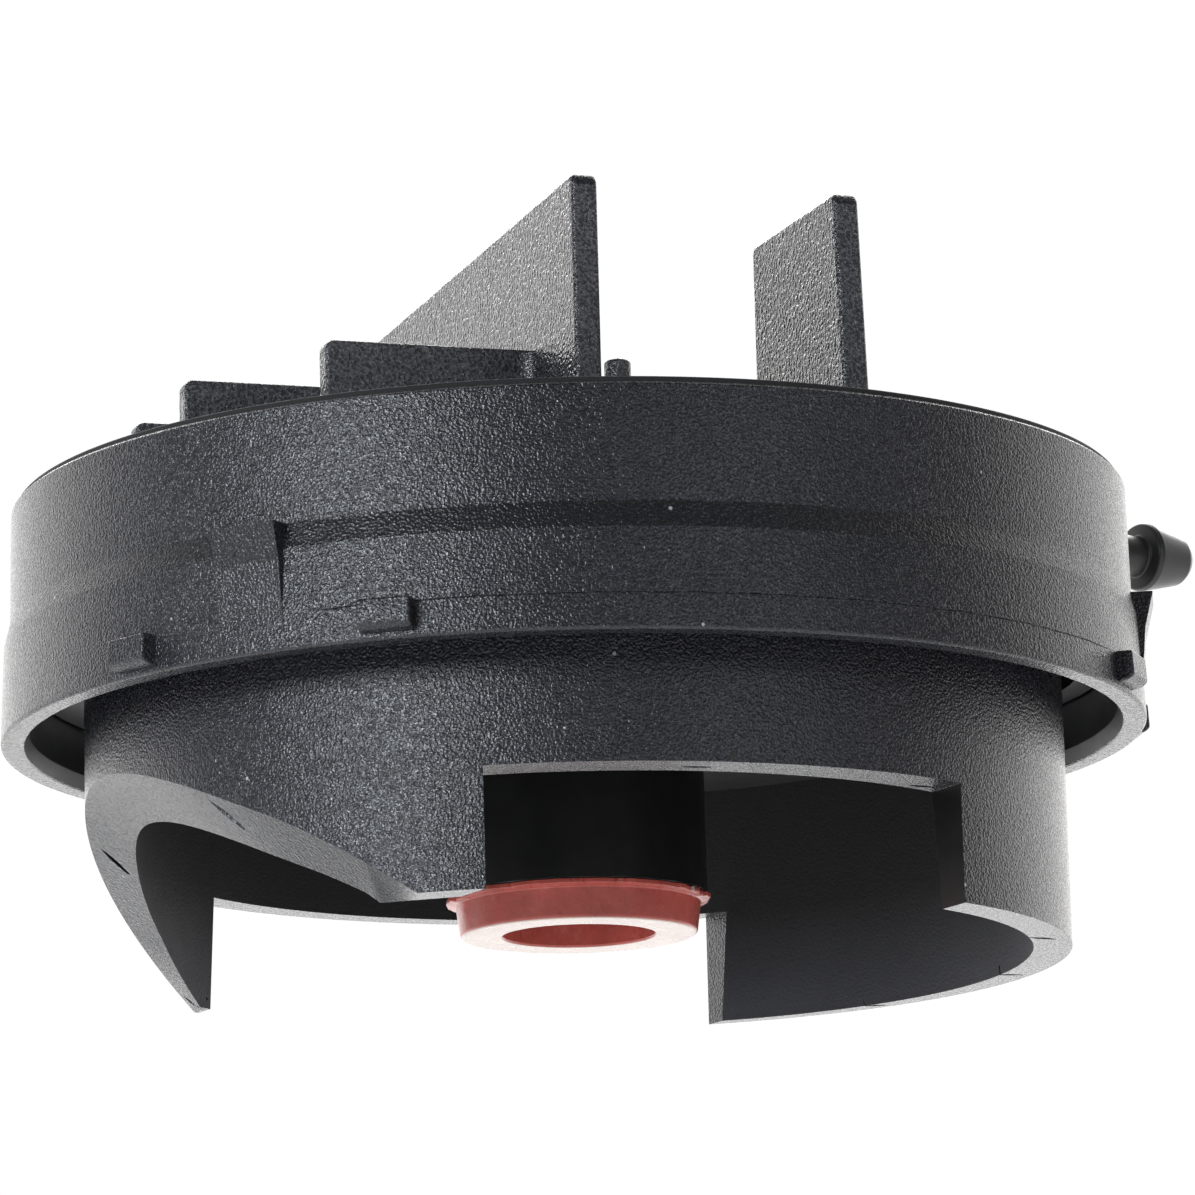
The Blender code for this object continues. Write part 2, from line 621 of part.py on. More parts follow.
def grille_slots():
    """Cutter for the intake slots, a few between each two rib lines."""
    shape = bmesh.new()
    pitch = RIB_SPACING / (SLOTS_PER_BAY + 1)
    for i in range(-SLOTS_PER_BAY, (RIB_COUNT + 1) * (SLOTS_PER_BAY + 1)):
        across = RIB_FIRST + pitch * i
        on_rib = i % (SLOTS_PER_BAY + 1) == 0
        if on_rib or abs(across) > SLOT_FIELD_RADIUS - SLOT_WIDTH:
            continue
        for start, end in slot_spans(across):
            outline = box_outline(start, end, across - SLOT_WIDTH / 2, across + SLOT_WIDTH / 2)
            extrude_outline(shape, outline, GRILLE_LOW - PAST, PLATFORM_HIGH + PAST, turn(RIB_TURN))
    return from_bmesh("grille_slots", shape)


def intake_grille():
    """Slotted cover with ribs, tall plates, pin, boss and nipple boss, moulded in one."""
    profile = [(0.0, BOSS_HIGH), (BOSS_RADIUS, BOSS_HIGH), (BOSS_RADIUS, PLATFORM_HIGH),
               (PLATFORM_RADIUS, PLATFORM_HIGH), (PLATFORM_RADIUS, GRILLE_HIGH),
               (GRILLE_RADIUS, GRILLE_HIGH), (GRILLE_RADIUS, GRILLE_LOW), (BUSH_POCKET_RADIUS, GRILLE_LOW),
               (BUSH_POCKET_RADIUS, BUSH_POCKET_HIGH), (0.0, BUSH_POCKET_HIGH)]
    grille = turned("intake_grille", profile, CASING_BLACK)
    combine(grille, grille_slots(), "DIFFERENCE")
    foot = PLATFORM_HIGH - ROOT
    half = PLATE_THICKNESS / 2
    plates = bmesh.new()
    reach = math.sqrt(RIB_END_RADIUS ** 2 - LONG_PLATE_OFFSET ** 2)
    long_plate = box_outline(LONG_PLATE_OFFSET - half, LONG_PLATE_OFFSET + half, -reach, reach)
    extrude_outline(plates, long_plate, foot, PLATE_HIGH, turn(RIB_TURN))
    short_plate = [(-SHORT_PLATE_LEAN, foot), (SHORT_PLATE_LENGTH, foot), (SHORT_PLATE_LENGTH, PLATE_HIGH),
                   (0.0, PLATE_HIGH)]
    upright = turn(SHORT_PLATE_TURN + 90.0) @ Matrix.Rotation(math.pi / 2, 4, "X")
    near = Matrix.Translation((*SHORT_PLATE_NEAR, 0.0)) @ upright
    extrude_outline(plates, short_plate, -half, half, near)
    rod(plates, PIN_RADIUS, foot, PLATE_HIGH, Matrix.Translation((*PIN_PLACE, 0.0)), 16)
    raised = Matrix.Translation((0, 0, NIPPLE_HEIGHT))
    outward = turn(NIPPLE_ANGLE) @ raised @ Matrix.Rotation(math.pi / 2, 4, "Y")
    rod(plates, NIPPLE_BOSS_RADIUS, NIPPLE_BOSS_START, NIPPLE_BOSS_END, outward, 24)
    combine(grille, from_bmesh("grille_plates", plates), "UNION")
    ribs = bmesh.new()
    for i in range(RIB_COUNT):
        across = RIB_FIRST + RIB_SPACING * i
        start = -math.sqrt(RIB_END_RADIUS ** 2 - across ** 2)
        rib = box_outline(start, LONG_PLATE_OFFSET, across - half, across + half)
        extrude_outline(ribs, rib, foot, RIB_HIGH, turn(RIB_TURN))
    combine(grille, from_bmesh("grille_ribs", ribs), "UNION")
    passage = bmesh.new()
    rod(passage, NIPPLE_STEM_RADIUS + GAP, NIPPLE_BOSS_START + PAST, NIPPLE_BOSS_END + PAST, outward, 20)
    combine(grille, from_bmesh("nipple_hole", passage), "DIFFERENCE")
    mouth = bmesh.new()
    rod(mouth, NIPPLE_COLLAR_RADIUS, NIPPLE_BOSS_END - NIPPLE_SEAL_SEAT, NIPPLE_BOSS_END + PAST, outward, 20)
    combine(grille, from_bmesh("nipple_seal_seat", mouth), "DIFFERENCE")
    drop = bmesh.new()
    place = Matrix.Translation(polar(AIR_DROP_PLACE, NIPPLE_ANGLE))
    rod(drop, AIR_DROP_RADIUS, GRILLE_LOW - PAST, NIPPLE_HEIGHT, place, 12)
    combine(grille, from_bmesh("air_drop", drop), "DIFFERENCE")
    holes(grille, [polar(POST_CIRCLE, a) for a in POST_ANGLES], SCREW_HOLE, GRILLE_LOW - PAST,
          PLATFORM_HIGH + PAST)
    return grille


def air_nipple():
    """Hose barb with a collar, lying along a radius of the ring."""
    collar_low, collar_high = NIPPLE_COLLAR
    profile = [(NIPPLE_BORE, NIPPLE_TIP), (NIPPLE_TIP_RADIUS - NIPPLE_TIP_ROUND, NIPPLE_TIP),
               (NIPPLE_TIP_RADIUS, NIPPLE_TIP - NIPPLE_TIP_ROUND), (NIPPLE_FLARE_RADIUS, NIPPLE_FLARE),
               (NIPPLE_STEM_RADIUS, NIPPLE_FLARE - NIPPLE_TIP_ROUND), (NIPPLE_STEM_RADIUS, collar_high),
               (NIPPLE_COLLAR_RADIUS, collar_high), (NIPPLE_COLLAR_RADIUS, collar_low),
               (NIPPLE_STEM_RADIUS, collar_low), (NIPPLE_STEM_RADIUS, NIPPLE_INNER_END),
               (NIPPLE_BORE, NIPPLE_INNER_END)]
    nipple = turned("air_nipple", profile, CASING_BLACK, 28)
    nipple.location = (0.0, 0.0, NIPPLE_HEIGHT)
    nipple.rotation_euler = (0.0, math.pi / 2, math.radians(NIPPLE_ANGLE))
    return nipple


def seal_ring(name, major, minor, paint, sides):
    """Rubber ring of round section about the z axis."""
    section = [(major + minor * math.cos(a), minor * math.sin(a))
               for a in (-math.tau * i / 6 for i in range(6))]
    return turned(name, section, paint, sides)


def nipple_seal():
    """Rubber ring in the mouth of the nipple boss."""
    ring = seal_ring("nipple_seal", NIPPLE_SEAL_RADIUS, NIPPLE_SEAL_SECTION, RUBBER_BLACK, 16)
    ring.location = polar(NIPPLE_BOSS_END - NIPPLE_SEAL_SEAT / 2, NIPPLE_ANGLE, NIPPLE_HEIGHT)
    ring.rotation_euler = (0.0, math.pi / 2, math.radians(NIPPLE_ANGLE))
    return ring


def deck_seal():
    """Rubber ring between the deck and the shroud's band."""
    ring = seal_ring("deck_seal", DECK_SEAL_RADIUS, DECK_SEAL_SECTION, RUBBER_BLACK, SEGMENTS_LARGE)
    ring.location = (0.0, 0.0, (DECK_HIGH + RING_BAND_LOW) / 2)
    return ring


def pan_screw(name, place, seat, length):
    """Screw with a pan head and a slot, its head's underside at the height seat."""
    head_low = seat + GAP
    head_high = head_low + PAN_HEAD_HEIGHT
    tip = seat - length
    profile = [(0.0, head_high), (PAN_HEAD_RADIUS - PAN_HEAD_ROUND, head_high),
               (PAN_HEAD_RADIUS, head_high - PAN_HEAD_ROUND), (PAN_HEAD_RADIUS, head_low),
               (SCREW_SHANK, head_low), (SCREW_SHANK, tip + SCREW_SHANK), (0.0, tip)]
    screw = turned(name, profile, STEEL, 16)
    screw.location = (place.x, place.y, 0.0)
    groove = bmesh.new()
    half = SCREW_SLOT / 2
    outline = box_outline(-PAN_HEAD_RADIUS - PAST, PAN_HEAD_RADIUS + PAST, -half, half)
    extrude_outline(groove, outline, head_high - PAN_HEAD_ROUND, head_high + PAST)
    tool = from_bmesh(name + "_groove", groove)
    tool.location = (place.x, place.y, 0.0)
    combine(screw, tool, "DIFFERENCE")
    return screw


def countersunk_screw(name, place):
    """Flush screw from the deck into the skirt."""
    top = DECK_HIGH - GAP / 2
    tip = SKIRT_HOLE_LOW + PAST
    profile = [(0.0, top), (SCREW_SHANK + SINK_HEAD, top), (SCREW_SHANK, top - SINK_HEAD),
               (SCREW_SHANK, tip + SCREW_SHANK), (0.0, tip)]
    screw = turned(name, profile, STEEL, 16)
    screw.location = (place.x, place.y, 0.0)
    return screw


def screws():
    """All the fasteners."""
    for i, angle in enumerate(POST_ANGLES, 1):
        pan_screw(f"grille_screw_{i}", polar(POST_CIRCLE, angle), GRILLE_HIGH, GRILLE_SCREW_LENGTH)
    for i, angle in enumerate(TUBE_SCREW_ANGLES, 1):
        pan_screw(f"tube_screw_{i}", polar(TUBE_SCREW_CIRCLE, angle), TUBE_FLANGE_HIGH, TUBE_SCREW_LENGTH)
    for i, angle in enumerate(SKIRT_SCREW_ANGLES, 1):
        countersunk_screw(f"skirt_screw_{i}", polar(SKIRT_SCREW_CIRCLE, angle))


def set_down():
    """Move the whole part so that the origin is the middle of its underside."""
    bpy.context.view_layer.update()
    sight = bpy.context.evaluated_depsgraph_get()
    corners = []
    for item in PARTS.objects:
        if item.type == "MESH":
            shown = item.evaluated_get(sight)
            corners += [shown.matrix_world @ Vector(c) for c in shown.bound_box]
    middle = [(min(c[k] for c in corners) + max(c[k] for c in corners)) / 2 for k in (0, 1)]
    FRAME.location = (-middle[0], -middle[1], -min(c.z for c in corners))
    bpy.context.view_layer.update()


def build():
    """Make every part."""
    shroud_ring()
    deck_plate()
    coupling_skirt()
    hub_tube()
    shaft_seal()
    lower_bush()
    upper_bush()
    thrust_washer()
    drive_shaft()
    drive_coupling()
    coupling_pin()
    impeller()
    shaft_circlip()
    intake_grille()
    air_nipple()
    nipple_seal()
    deck_seal()
    screws()
    set_down()


build()
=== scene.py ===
"""Looks of an aquarium pump head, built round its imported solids.

Shapes are drawn in millimetres about the shaft's axis, with z = 0 at the shroud ring's lower edge. They are
then scaled and set on the solids. Fine pieces stand for the coarse solids that show.
"""

import math

import bmesh
import bpy
from mathutils import Matrix, Vector, noise

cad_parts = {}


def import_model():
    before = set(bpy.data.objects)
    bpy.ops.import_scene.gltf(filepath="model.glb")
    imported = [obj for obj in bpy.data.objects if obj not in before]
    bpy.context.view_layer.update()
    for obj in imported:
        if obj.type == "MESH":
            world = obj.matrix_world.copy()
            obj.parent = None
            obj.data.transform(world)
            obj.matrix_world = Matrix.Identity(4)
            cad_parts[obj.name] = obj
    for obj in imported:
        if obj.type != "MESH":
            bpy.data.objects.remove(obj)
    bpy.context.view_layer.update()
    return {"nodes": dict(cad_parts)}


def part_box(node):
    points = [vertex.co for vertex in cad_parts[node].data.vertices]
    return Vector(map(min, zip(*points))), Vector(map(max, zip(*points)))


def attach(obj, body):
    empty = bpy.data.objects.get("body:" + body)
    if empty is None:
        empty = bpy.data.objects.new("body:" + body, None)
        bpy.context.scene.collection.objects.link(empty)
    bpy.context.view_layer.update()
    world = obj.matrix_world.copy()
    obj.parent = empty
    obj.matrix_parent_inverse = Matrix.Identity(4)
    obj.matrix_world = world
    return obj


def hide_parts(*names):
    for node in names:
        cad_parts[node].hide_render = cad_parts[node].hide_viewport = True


MM = 0.001
FULL_TURN = 360.0

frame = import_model()
SHAFT_LOW, SHAFT_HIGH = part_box("drive_shaft")
RING_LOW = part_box("shroud_ring")[0]
AXIS = Vector(((SHAFT_LOW.x + SHAFT_HIGH.x) / 2, (SHAFT_LOW.y + SHAFT_HIGH.y) / 2, RING_LOW.z))
PLACING = Matrix.Translation(AXIS) @ Matrix.Scale(MM, 4)

# Smoothness
RING_SEGMENTS = 288
FINE_SEGMENTS = 128
SMALL_SEGMENTS = 48
EDGE_STEPS = 3
SLOT_END_STEPS = 8
SHARP_ANGLE = 38.0

# Angles and directions of the design
LATCH_ANGLES = (238.6, 354.5, 116.6)
POST_ANGLES = (80.0, 170.0, 260.0, 350.0)
POST_RADIUS = 46.8
TUBE_SCREW_ANGLES = (90.0, 210.0, 330.0)
TUBE_SCREW_RADIUS = 16.5
SLIDE_ANGLE = 118.0
RIB_TURN = 18.2
NIPPLE_ANGLE = 36.0


# Drawing

def polar(radius, degrees, height=0.0):
    """Point at a radius and an angle about the shaft's axis."""
    angle = math.radians(degrees)
    return Vector((radius * math.cos(angle), radius * math.sin(angle), height))


def turn(degrees):
    """Rotation about the shaft's axis."""
    return Matrix.Rotation(math.radians(degrees), 4, "Z")


def smooth_step(value):
    """Value from 0 to 1, eased at both ends."""
    value = min(1.0, max(0.0, value))
    return value * value * (3 - 2 * value)


def rounded(corners, steps=4):
    """Closed outline of (x, y, radius) corners, each rounded to its radius."""
    outline = []
    for i, (x, y, radius) in enumerate(corners):
        here = Vector((x, y))
        before = Vector(corners[i - 1][:2]) - here
        after = Vector(corners[(i + 1) % len(corners)][:2]) - here
        if radius <= 0:
            outline.append(here)
            continue
        half = before.angle(after) / 2
        cut = min(radius / math.tan(half), 0.48 * before.length, 0.48 * after.length)
        radius = cut * math.tan(half)
        before.normalize()
        after.normalize()
        centre = here + (before + after).normalized() * (radius / math.sin(half))
        first = here + before * cut - centre
        last = here + after * cut - centre
        sweep = first.angle(last)
        for k in range(steps + 1):
            share = k / steps
            arm = first * math.sin((1 - share) * sweep) + last * math.sin(share * sweep)
            outline.append(centre + arm / math.sin(sweep))
    return outline


def lathe(outline, segments, shift=None):
    """Turn a closed (radius, height) outline about the z axis; shift may move each point."""
    shape = bmesh.new()
    rows = []
    for i in range(segments):
        angle = FULL_TURN * i / segments
        row = []
        for radius, height in outline:
            if shift is not None:
                radius, height = shift(radius, height, angle)
            row.append(shape.verts.new(polar(radius, angle, height)))
        rows.append(row)
    count = len(outline)
    for i, row in enumerate(rows):
        following = rows[(i + 1) % segments]
        for k in range(count):
            other = (k + 1) % count
            shape.faces.new((row[k], row[other], following[other], following[k]))
    bmesh.ops.remove_doubles(shape, verts=shape.verts, dist=0.0005)
    bmesh.ops.recalc_face_normals(shape, faces=shape.faces)
    return shape


def prism(shape, outline, low, high, placing=Matrix(), edge=0.0):
    """Add a prism on an outline to a bmesh, with rounded edges."""
    part = bmesh.new()
    base = part.faces.new([part.verts.new((p[0], p[1], low)) for p in outline])
    raised = bmesh.ops.extrude_face_region(part, geom=[base])["geom"]
    top = [v for v in raised if isinstance(v, bmesh.types.BMVert)]
    bmesh.ops.translate(part, verts=top, vec=(0.0, 0.0, high - low))
    bmesh.ops.recalc_face_normals(part, faces=part.faces)
    if edge > 0:
        bmesh.ops.bevel(part, geom=list(part.edges), offset=edge, segments=EDGE_STEPS, profile=0.5,
                        affect="EDGES")
    bmesh.ops.transform(part, matrix=placing, verts=part.verts)
    absorb(shape, part)


def absorb(shape, part):
    """Add one bmesh to another."""
    held = bpy.data.meshes.new("held")
    part.to_mesh(held)
    part.free()
    shape.from_mesh(held)
    bpy.data.meshes.remove(held)


def box_outline(x_low, x_high, y_low, y_high):
    """Rectangle as an outline."""
    return [(x_low, y_low), (x_high, y_low), (x_high, y_high), (x_low, y_high)]


def stadium(x_low, x_high, middle, half):
    """Slot outline with round ends."""
    outline = []
    for k in range(SLOT_END_STEPS + 1):
        angle = math.pi * (0.5 + k / SLOT_END_STEPS)
        outline.append((x_low + half + half * math.cos(angle), middle + half * math.sin(angle)))
    for k in range(SLOT_END_STEPS + 1):
        angle = math.pi * (-0.5 + k / SLOT_END_STEPS)
        outline.append((x_high - half + half * math.cos(angle), middle + half * math.sin(angle)))
    return outline


def loose(shape):
    """Object that holds a bmesh, for cutting and joining."""
    mesh = bpy.data.meshes.new("loose")
    shape.to_mesh(mesh)
    shape.free()
    item = bpy.data.objects.new("loose", mesh)
    bpy.context.scene.collection.objects.link(item)
    return item


def combined(shape, *steps):
    """Bmesh after joining other bmeshes to it or cutting them out, each step a (bmesh, operation) pair."""
    item = loose(shape)
    tools = []
    for part, operation in steps:
        tool = loose(part)
        tools.append(tool)
        change = item.modifiers.new("combine", "BOOLEAN")
        change.operation = operation
        change.solver = "EXACT"
        change.object = tool
    bpy.context.view_layer.update()
    sight = bpy.context.evaluated_depsgraph_get()
    mesh = bpy.data.meshes.new_from_object(item.evaluated_get(sight))
    result = bmesh.new()
    result.from_mesh(mesh)
    bpy.data.meshes.remove(mesh)
    for old in (item, *tools):
        held = old.data
        bpy.data.objects.remove(old)
        bpy.data.meshes.remove(held)
    return result


def shade(item):
    """Smooth shading with true corners."""
    item.data.shade_smooth()
    item.data.set_sharp_from_angle(angle=math.radians(SHARP_ANGLE))
    normals = item.modifiers.new("normals", "WEIGHTED_NORMAL")
    normals.keep_sharp = True
    normals.weight = 60


def piece(name, shape, paint, body, stands_for, placing=Matrix()):
    """Make a visible piece from a bmesh in millimetres, set it on its body and let it replace solids."""
    mesh = bpy.data.meshes.new(name)
    shape.to_mesh(mesh)
    shape.free()
    mesh.transform(PLACING @ placing)
    for each in paint if isinstance(paint, (list, tuple)) else [paint]:
        mesh.materials.append(each)
    item = bpy.data.objects.new(name, mesh)
    bpy.context.scene.collection.objects.link(item)
    shade(item)
    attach(item, body)
    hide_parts(*stands_for)
    return item


# Materials

class Paint:
    """A material under construction: its nodes, and the Principled shader they feed."""

    def __init__(self, name, roughness, metallic=0.0):
        self.made = bpy.data.materials.new(name)
        self.made.use_nodes = True
        self.tree = self.made.node_tree
        self.shader = self.tree.nodes["Principled BSDF"]
        self.shader.inputs["Roughness"].default_value = roughness
        self.shader.inputs["Metallic"].default_value = metallic
        self.place = self.tree.nodes.new("ShaderNodeTexCoord").outputs["Object"]
        self.normal = None

    def link(self, source, target):
        """Join two sockets."""
        self.tree.links.new(source, target)

    def stretched(self, scale):
        """Object coordinates, scaled unevenly."""
        node = self.tree.nodes.new("ShaderNodeMapping")
        node.inputs["Scale"].default_value = scale
        self.link(self.place, node.inputs["Vector"])
        return node.outputs["Vector"]

    def noise(self, scale, detail=2.0, roughness=0.5, place=None):
        """Noise of so many cells a metre."""
        node = self.tree.nodes.new("ShaderNodeTexNoise")
        node.inputs["Scale"].default_value = scale
        node.inputs["Detail"].default_value = detail
        node.inputs["Roughness"].default_value = roughness
        self.link(place or self.place, node.inputs["Vector"])
        return node.outputs["Fac"]

    def ramp(self, source, *stops):
        """Colour or grey ramp with (position, colour) stops."""
        node = self.tree.nodes.new("ShaderNodeValToRGB")
        points = node.color_ramp.elements
        while len(points) < len(stops):
            points.new(0.5)
        for point, (position, colour) in zip(points, stops):
            point.position = position
            point.color = (*colour, 1.0) if isinstance(colour, tuple) else (colour, colour, colour, 1.0)
        self.link(source, node.inputs["Fac"])
        return node.outputs["Color"]

    def mix(self, share, first, second):
        """Mix two colours; each input is a socket or a value."""
        node = self.tree.nodes.new("ShaderNodeMix")
        node.data_type = "RGBA"
        for socket, value in ((node.inputs[0], share), (node.inputs[6], first), (node.inputs[7], second)):
            if isinstance(value, bpy.types.NodeSocket):
                self.link(value, socket)
            elif isinstance(value, tuple):
                socket.default_value = (*value, 1.0)
            else:
                socket.default_value = value
        return node.outputs[2]

    def spread(self, source, low, high):
        """Map 0..1 to low..high."""
        node = self.tree.nodes.new("ShaderNodeMapRange")
        node.inputs["To Min"].default_value = low
        node.inputs["To Max"].default_value = high
        self.link(source, node.inputs["Value"])
        return node.outputs["Result"]

    def bump(self, height, strength, depth_mm):
        """Add relief of so many millimetres."""
        node = self.tree.nodes.new("ShaderNodeBump")
        node.inputs["Strength"].default_value = strength
        node.inputs["Distance"].default_value = depth_mm * MM
        self.link(height, node.inputs["Height"])
        if self.normal is not None:
            self.link(self.normal, node.inputs["Normal"])
        self.normal = node.outputs["Normal"]
        self.link(self.normal, self.shader.inputs["Normal"])

    def middle(self, full, none):
        """Mask of painted shade: 1 in the middle of the width, fading to 0 at the sides; distances in
        metres.
        """
        split = self.tree.nodes.new("ShaderNodeSeparateXYZ")
        self.link(self.place, split.inputs["Vector"])
        offset = self.tree.nodes.new("ShaderNodeMath")
        offset.operation = "SUBTRACT"
        offset.inputs[1].default_value = AXIS.x
        self.link(split.outputs["X"], offset.inputs[0])
        away = self.tree.nodes.new("ShaderNodeMath")
        away.operation = "ABSOLUTE"
        self.link(offset.outputs["Value"], away.inputs[0])
        share = self.tree.nodes.new("ShaderNodeMapRange")
        share.inputs["From Min"].default_value = full
        share.inputs["From Max"].default_value = none
        share.inputs["To Min"].default_value = 1.0
        share.inputs["To Max"].default_value = 0.0
        self.link(away.outputs["Value"], share.inputs["Value"])
        return share.outputs["Result"]

    def specks(self, cells, size):
        """Sparse round specks: cells a metre, and size as a share of a cell."""
        node = self.tree.nodes.new("ShaderNodeTexVoronoi")
        node.inputs["Scale"].default_value = cells
        self.link(self.place, node.inputs["Vector"])
        return self.ramp(node.outputs["Distance"], (size * 0.6, 1.0), (size, 0.0))

    def colour(self, socket):
        """Feed the base colour."""
        self.link(socket, self.shader.inputs["Base Color"])

    def gloss(self, socket):
        """Feed the roughness."""
        self.link(socket, self.shader.inputs["Roughness"])


def grained(name, dark, light, rough_low, rough_high, painted_shade_colour=None, fineness=4000.0, depth=0.13):
    """Moulded plastic with a spark-eroded grain; a given shade colour paints shade over the middle of the
    width.
    """
    paint = Paint(name, 0.5)
    cells = paint.noise(fineness, 1.0, 0.5)
    clouds = paint.noise(45.0, 3.0, 0.6)
    body = paint.mix(paint.ramp(clouds, (0.32, 0.0), (0.70, 1.0)), dark, light)
    if painted_shade_colour is not None:
        # Painted shade: the middle of the width turns to the shade colour.
        body = paint.mix(paint.middle(0.034, 0.048), body, painted_shade_colour)
    pits = paint.mix(paint.ramp(cells, (0.38, 0.25), (0.62, 1.0)), (0.0, 0.0, 0.0), body)
    dust = paint.mix(paint.specks(170.0, 0.035), pits, (0.36, 0.36, 0.37))
    paint.colour(dust)
    paint.gloss(paint.ramp(cells, (0.38, rough_high), (0.62, rough_low)))
    paint.bump(cells, 1.0, depth)
    paint.bump(paint.noise(1900.0, 1.0, 0.5), 0.35, 0.08)
    return paint.made


def satin(name, dark, light, rough_low, rough_high, relief, shine=0.5):
    """Smooth moulded plastic with faint flow marks and fine scuffs."""
    paint = Paint(name, 0.4)
    paint.shader.inputs["Specular IOR Level"].default_value = shine
    flow = paint.noise(70.0, 3.0, 0.6, paint.stretched((1.0, 1.0, 0.25)))
    paint.colour(paint.mix(flow, dark, light))
    paint.gloss(paint.spread(paint.noise(420.0, 5.0, 0.75), rough_low, rough_high))
    paint.bump(paint.noise(1500.0, 3.0, 0.6), relief, 0.05)
    paint.bump(paint.noise(160.0, 2.0, 0.5), relief, 0.12)
    return paint.made


def bore_look():
    """Inside of the skirt: matt, with painted shade that turns it near black towards the deck."""
    paint = Paint("casing_bore", 0.5)
    paint.shader.inputs["Specular IOR Level"].default_value = 0.3
    split = paint.tree.nodes.new("ShaderNodeSeparateXYZ")
    paint.link(paint.place, split.inputs["Vector"])
    height = paint.tree.nodes.new("ShaderNodeMapRange")
    height.inputs["From Min"].default_value = 0.001
    height.inputs["From Max"].default_value = 0.011
    paint.link(split.outputs["Z"], height.inputs["Value"])
    flow = paint.noise(70.0, 3.0, 0.6)
    low = paint.mix(flow, (0.032, 0.0325, 0.040), (0.047, 0.0475, 0.055))
    # Painted shade: the colour fades to near black towards the deck.
    paint.colour(paint.mix(height.outputs["Result"], low, (0.003, 0.003, 0.003)))
    paint.gloss(paint.spread(paint.noise(420.0, 5.0, 0.75), 0.56, 0.70))
    paint.bump(paint.noise(3800.0, 1.0, 0.5), 0.7, 0.08)
    return paint.made


def red_rubber(name, dark, light, pale):
    """Moulded rubber with a pale bloom."""
    paint = Paint(name, 0.5)
    clouds = paint.noise(180.0, 4.0, 0.65)
    body = paint.mix(paint.ramp(clouds, (0.30, 0.0), (0.72, 1.0)), dark, light)
    bloom = paint.ramp(paint.noise(520.0, 5.0, 0.75), (0.58, 0.0), (0.80, 0.45))
    paint.colour(paint.mix(bloom, body, pale))
    paint.gloss(paint.spread(paint.noise(800.0, 3.0, 0.7), 0.20, 0.38))
    paint.bump(paint.noise(1300.0, 3.0, 0.6), 0.25, 0.08)
    paint.bump(paint.noise(220.0, 2.0, 0.5), 0.20, 0.15)
    return paint.made


def steel():
    """Turned stainless steel with fine tool marks."""
    paint = Paint("stainless_steel", 0.28, 1.0)
    marks = paint.noise(400.0, 4.0, 0.7, paint.stretched((1.0, 1.0, 14.0)))
    paint.colour(paint.mix(marks, (0.50, 0.50, 0.51), (0.66, 0.66, 0.67)))
    paint.gloss(paint.spread(marks, 0.20, 0.38))
    paint.bump(marks, 0.15, 0.03)
    return paint.made


def ceramic():
    """Ground alumina with a faint speckle."""
    paint = Paint("bush_ceramic", 0.3)
    paint.colour(paint.mix(paint.noise(1800.0, 3.0, 0.6), (0.74, 0.72, 0.67), (0.86, 0.84, 0.79)))
    paint.gloss(paint.spread(paint.noise(600.0, 3.0, 0.6), 0.22, 0.40))
    paint.bump(paint.noise(2600.0, 2.0, 0.5), 0.15, 0.03)
    return paint.made


def black_rubber():
    """Matt black rubber of the sealing rings."""
    paint = Paint("ring_rubber", 0.7)
    paint.colour(paint.mix(paint.noise(300.0, 4.0, 0.6), (0.012, 0.012, 0.012), (0.030, 0.030, 0.029)))
    paint.gloss(paint.spread(paint.noise(900.0, 3.0, 0.6), 0.55, 0.80))
    paint.bump(paint.noise(1900.0, 2.0, 0.5), 0.2, 0.05)
    return paint.made


CASING = grained("casing_grain", (0.020, 0.0205, 0.027), (0.032, 0.0325, 0.041), 0.14, 0.30)
# Lighter copy of the casing: painted light, for the front-facing ends of the plates and ribs.
CASING_PAINTED_LIGHT = grained("casing_painted_light", (0.076, 0.077, 0.086), (0.098, 0.099, 0.110), 0.14, 0.32,
              None, 3400.0, 0.17)
RUGGED = grained("casing_rugged", (0.020, 0.0205, 0.027), (0.032, 0.0325, 0.041), 0.10, 0.34,
                 None, 2700.0, 0.34)
# Copy of the casing with painted shade in the middle of the width, for the shoulder band and latch faces.
CASING_PAINTED_SHADE = grained("casing_painted_shade", (0.020, 0.0205, 0.027), (0.032, 0.0325, 0.041), 0.20, 0.36,
                 (0.012, 0.0125, 0.016))
BORE = bore_look()
INNER = satin("casing_inner", (0.018, 0.018, 0.019), (0.028, 0.028, 0.029), 0.30, 0.46, 0.25)
RIM = satin("casing_rim", (0.018, 0.018, 0.019), (0.028, 0.028, 0.029), 0.62, 0.78, 0.25, 0.15)
TUBE = satin("tube_black", (0.003, 0.003, 0.003), (0.008, 0.008, 0.008), 0.24, 0.42, 0.30)
SEAL = red_rubber("seal_red", (0.29, 0.050, 0.038), (0.50, 0.100, 0.080), (0.70, 0.32, 0.28))
# Pale copy of the seal rubber: painted light on the underside, and the pale colour of the thin torn flash.
SEAL_PAINTED_LIGHT_AND_FLASH = red_rubber("seal_painted_light_and_flash", (0.40, 0.30, 0.26), (0.48, 0.375, 0.335), (0.56, 0.455, 0.405))
STEEL = steel()
CERAMIC = ceramic()
RUBBER = black_rubber()
WHEEL = satin("impeller_grey", (0.13, 0.14, 0.15), (0.20, 0.21, 0.22), 0.32, 0.50, 0.2)


# Shroud ring

RING_BORE = 52.2
RING_FACE = 55.0
RING_TOP = 23.24
BAND_BORE = 49.8
BAND_LOW = 10.7
BAND_HIGH = 19.7
LATCH_HALF_WIDTH = 3.6
LUG_OFFSET = 14.3
LUG_HALF_WIDTH = 2.6
PARTING_HEIGHT = 3.33
PARTING_HALF = 0.09
PARTING_DEPTH = 0.09
PARTING_FROM = 243.0
PARTING_TO = 338.0
SHOULDER_LOW = 9.3
SHOULDER_HIGH = 11.8
LATCH_SHADE_LOW = 8.2
LATCH_SHADE_RADIUS = 55.2
RIM_LOW = 22.6


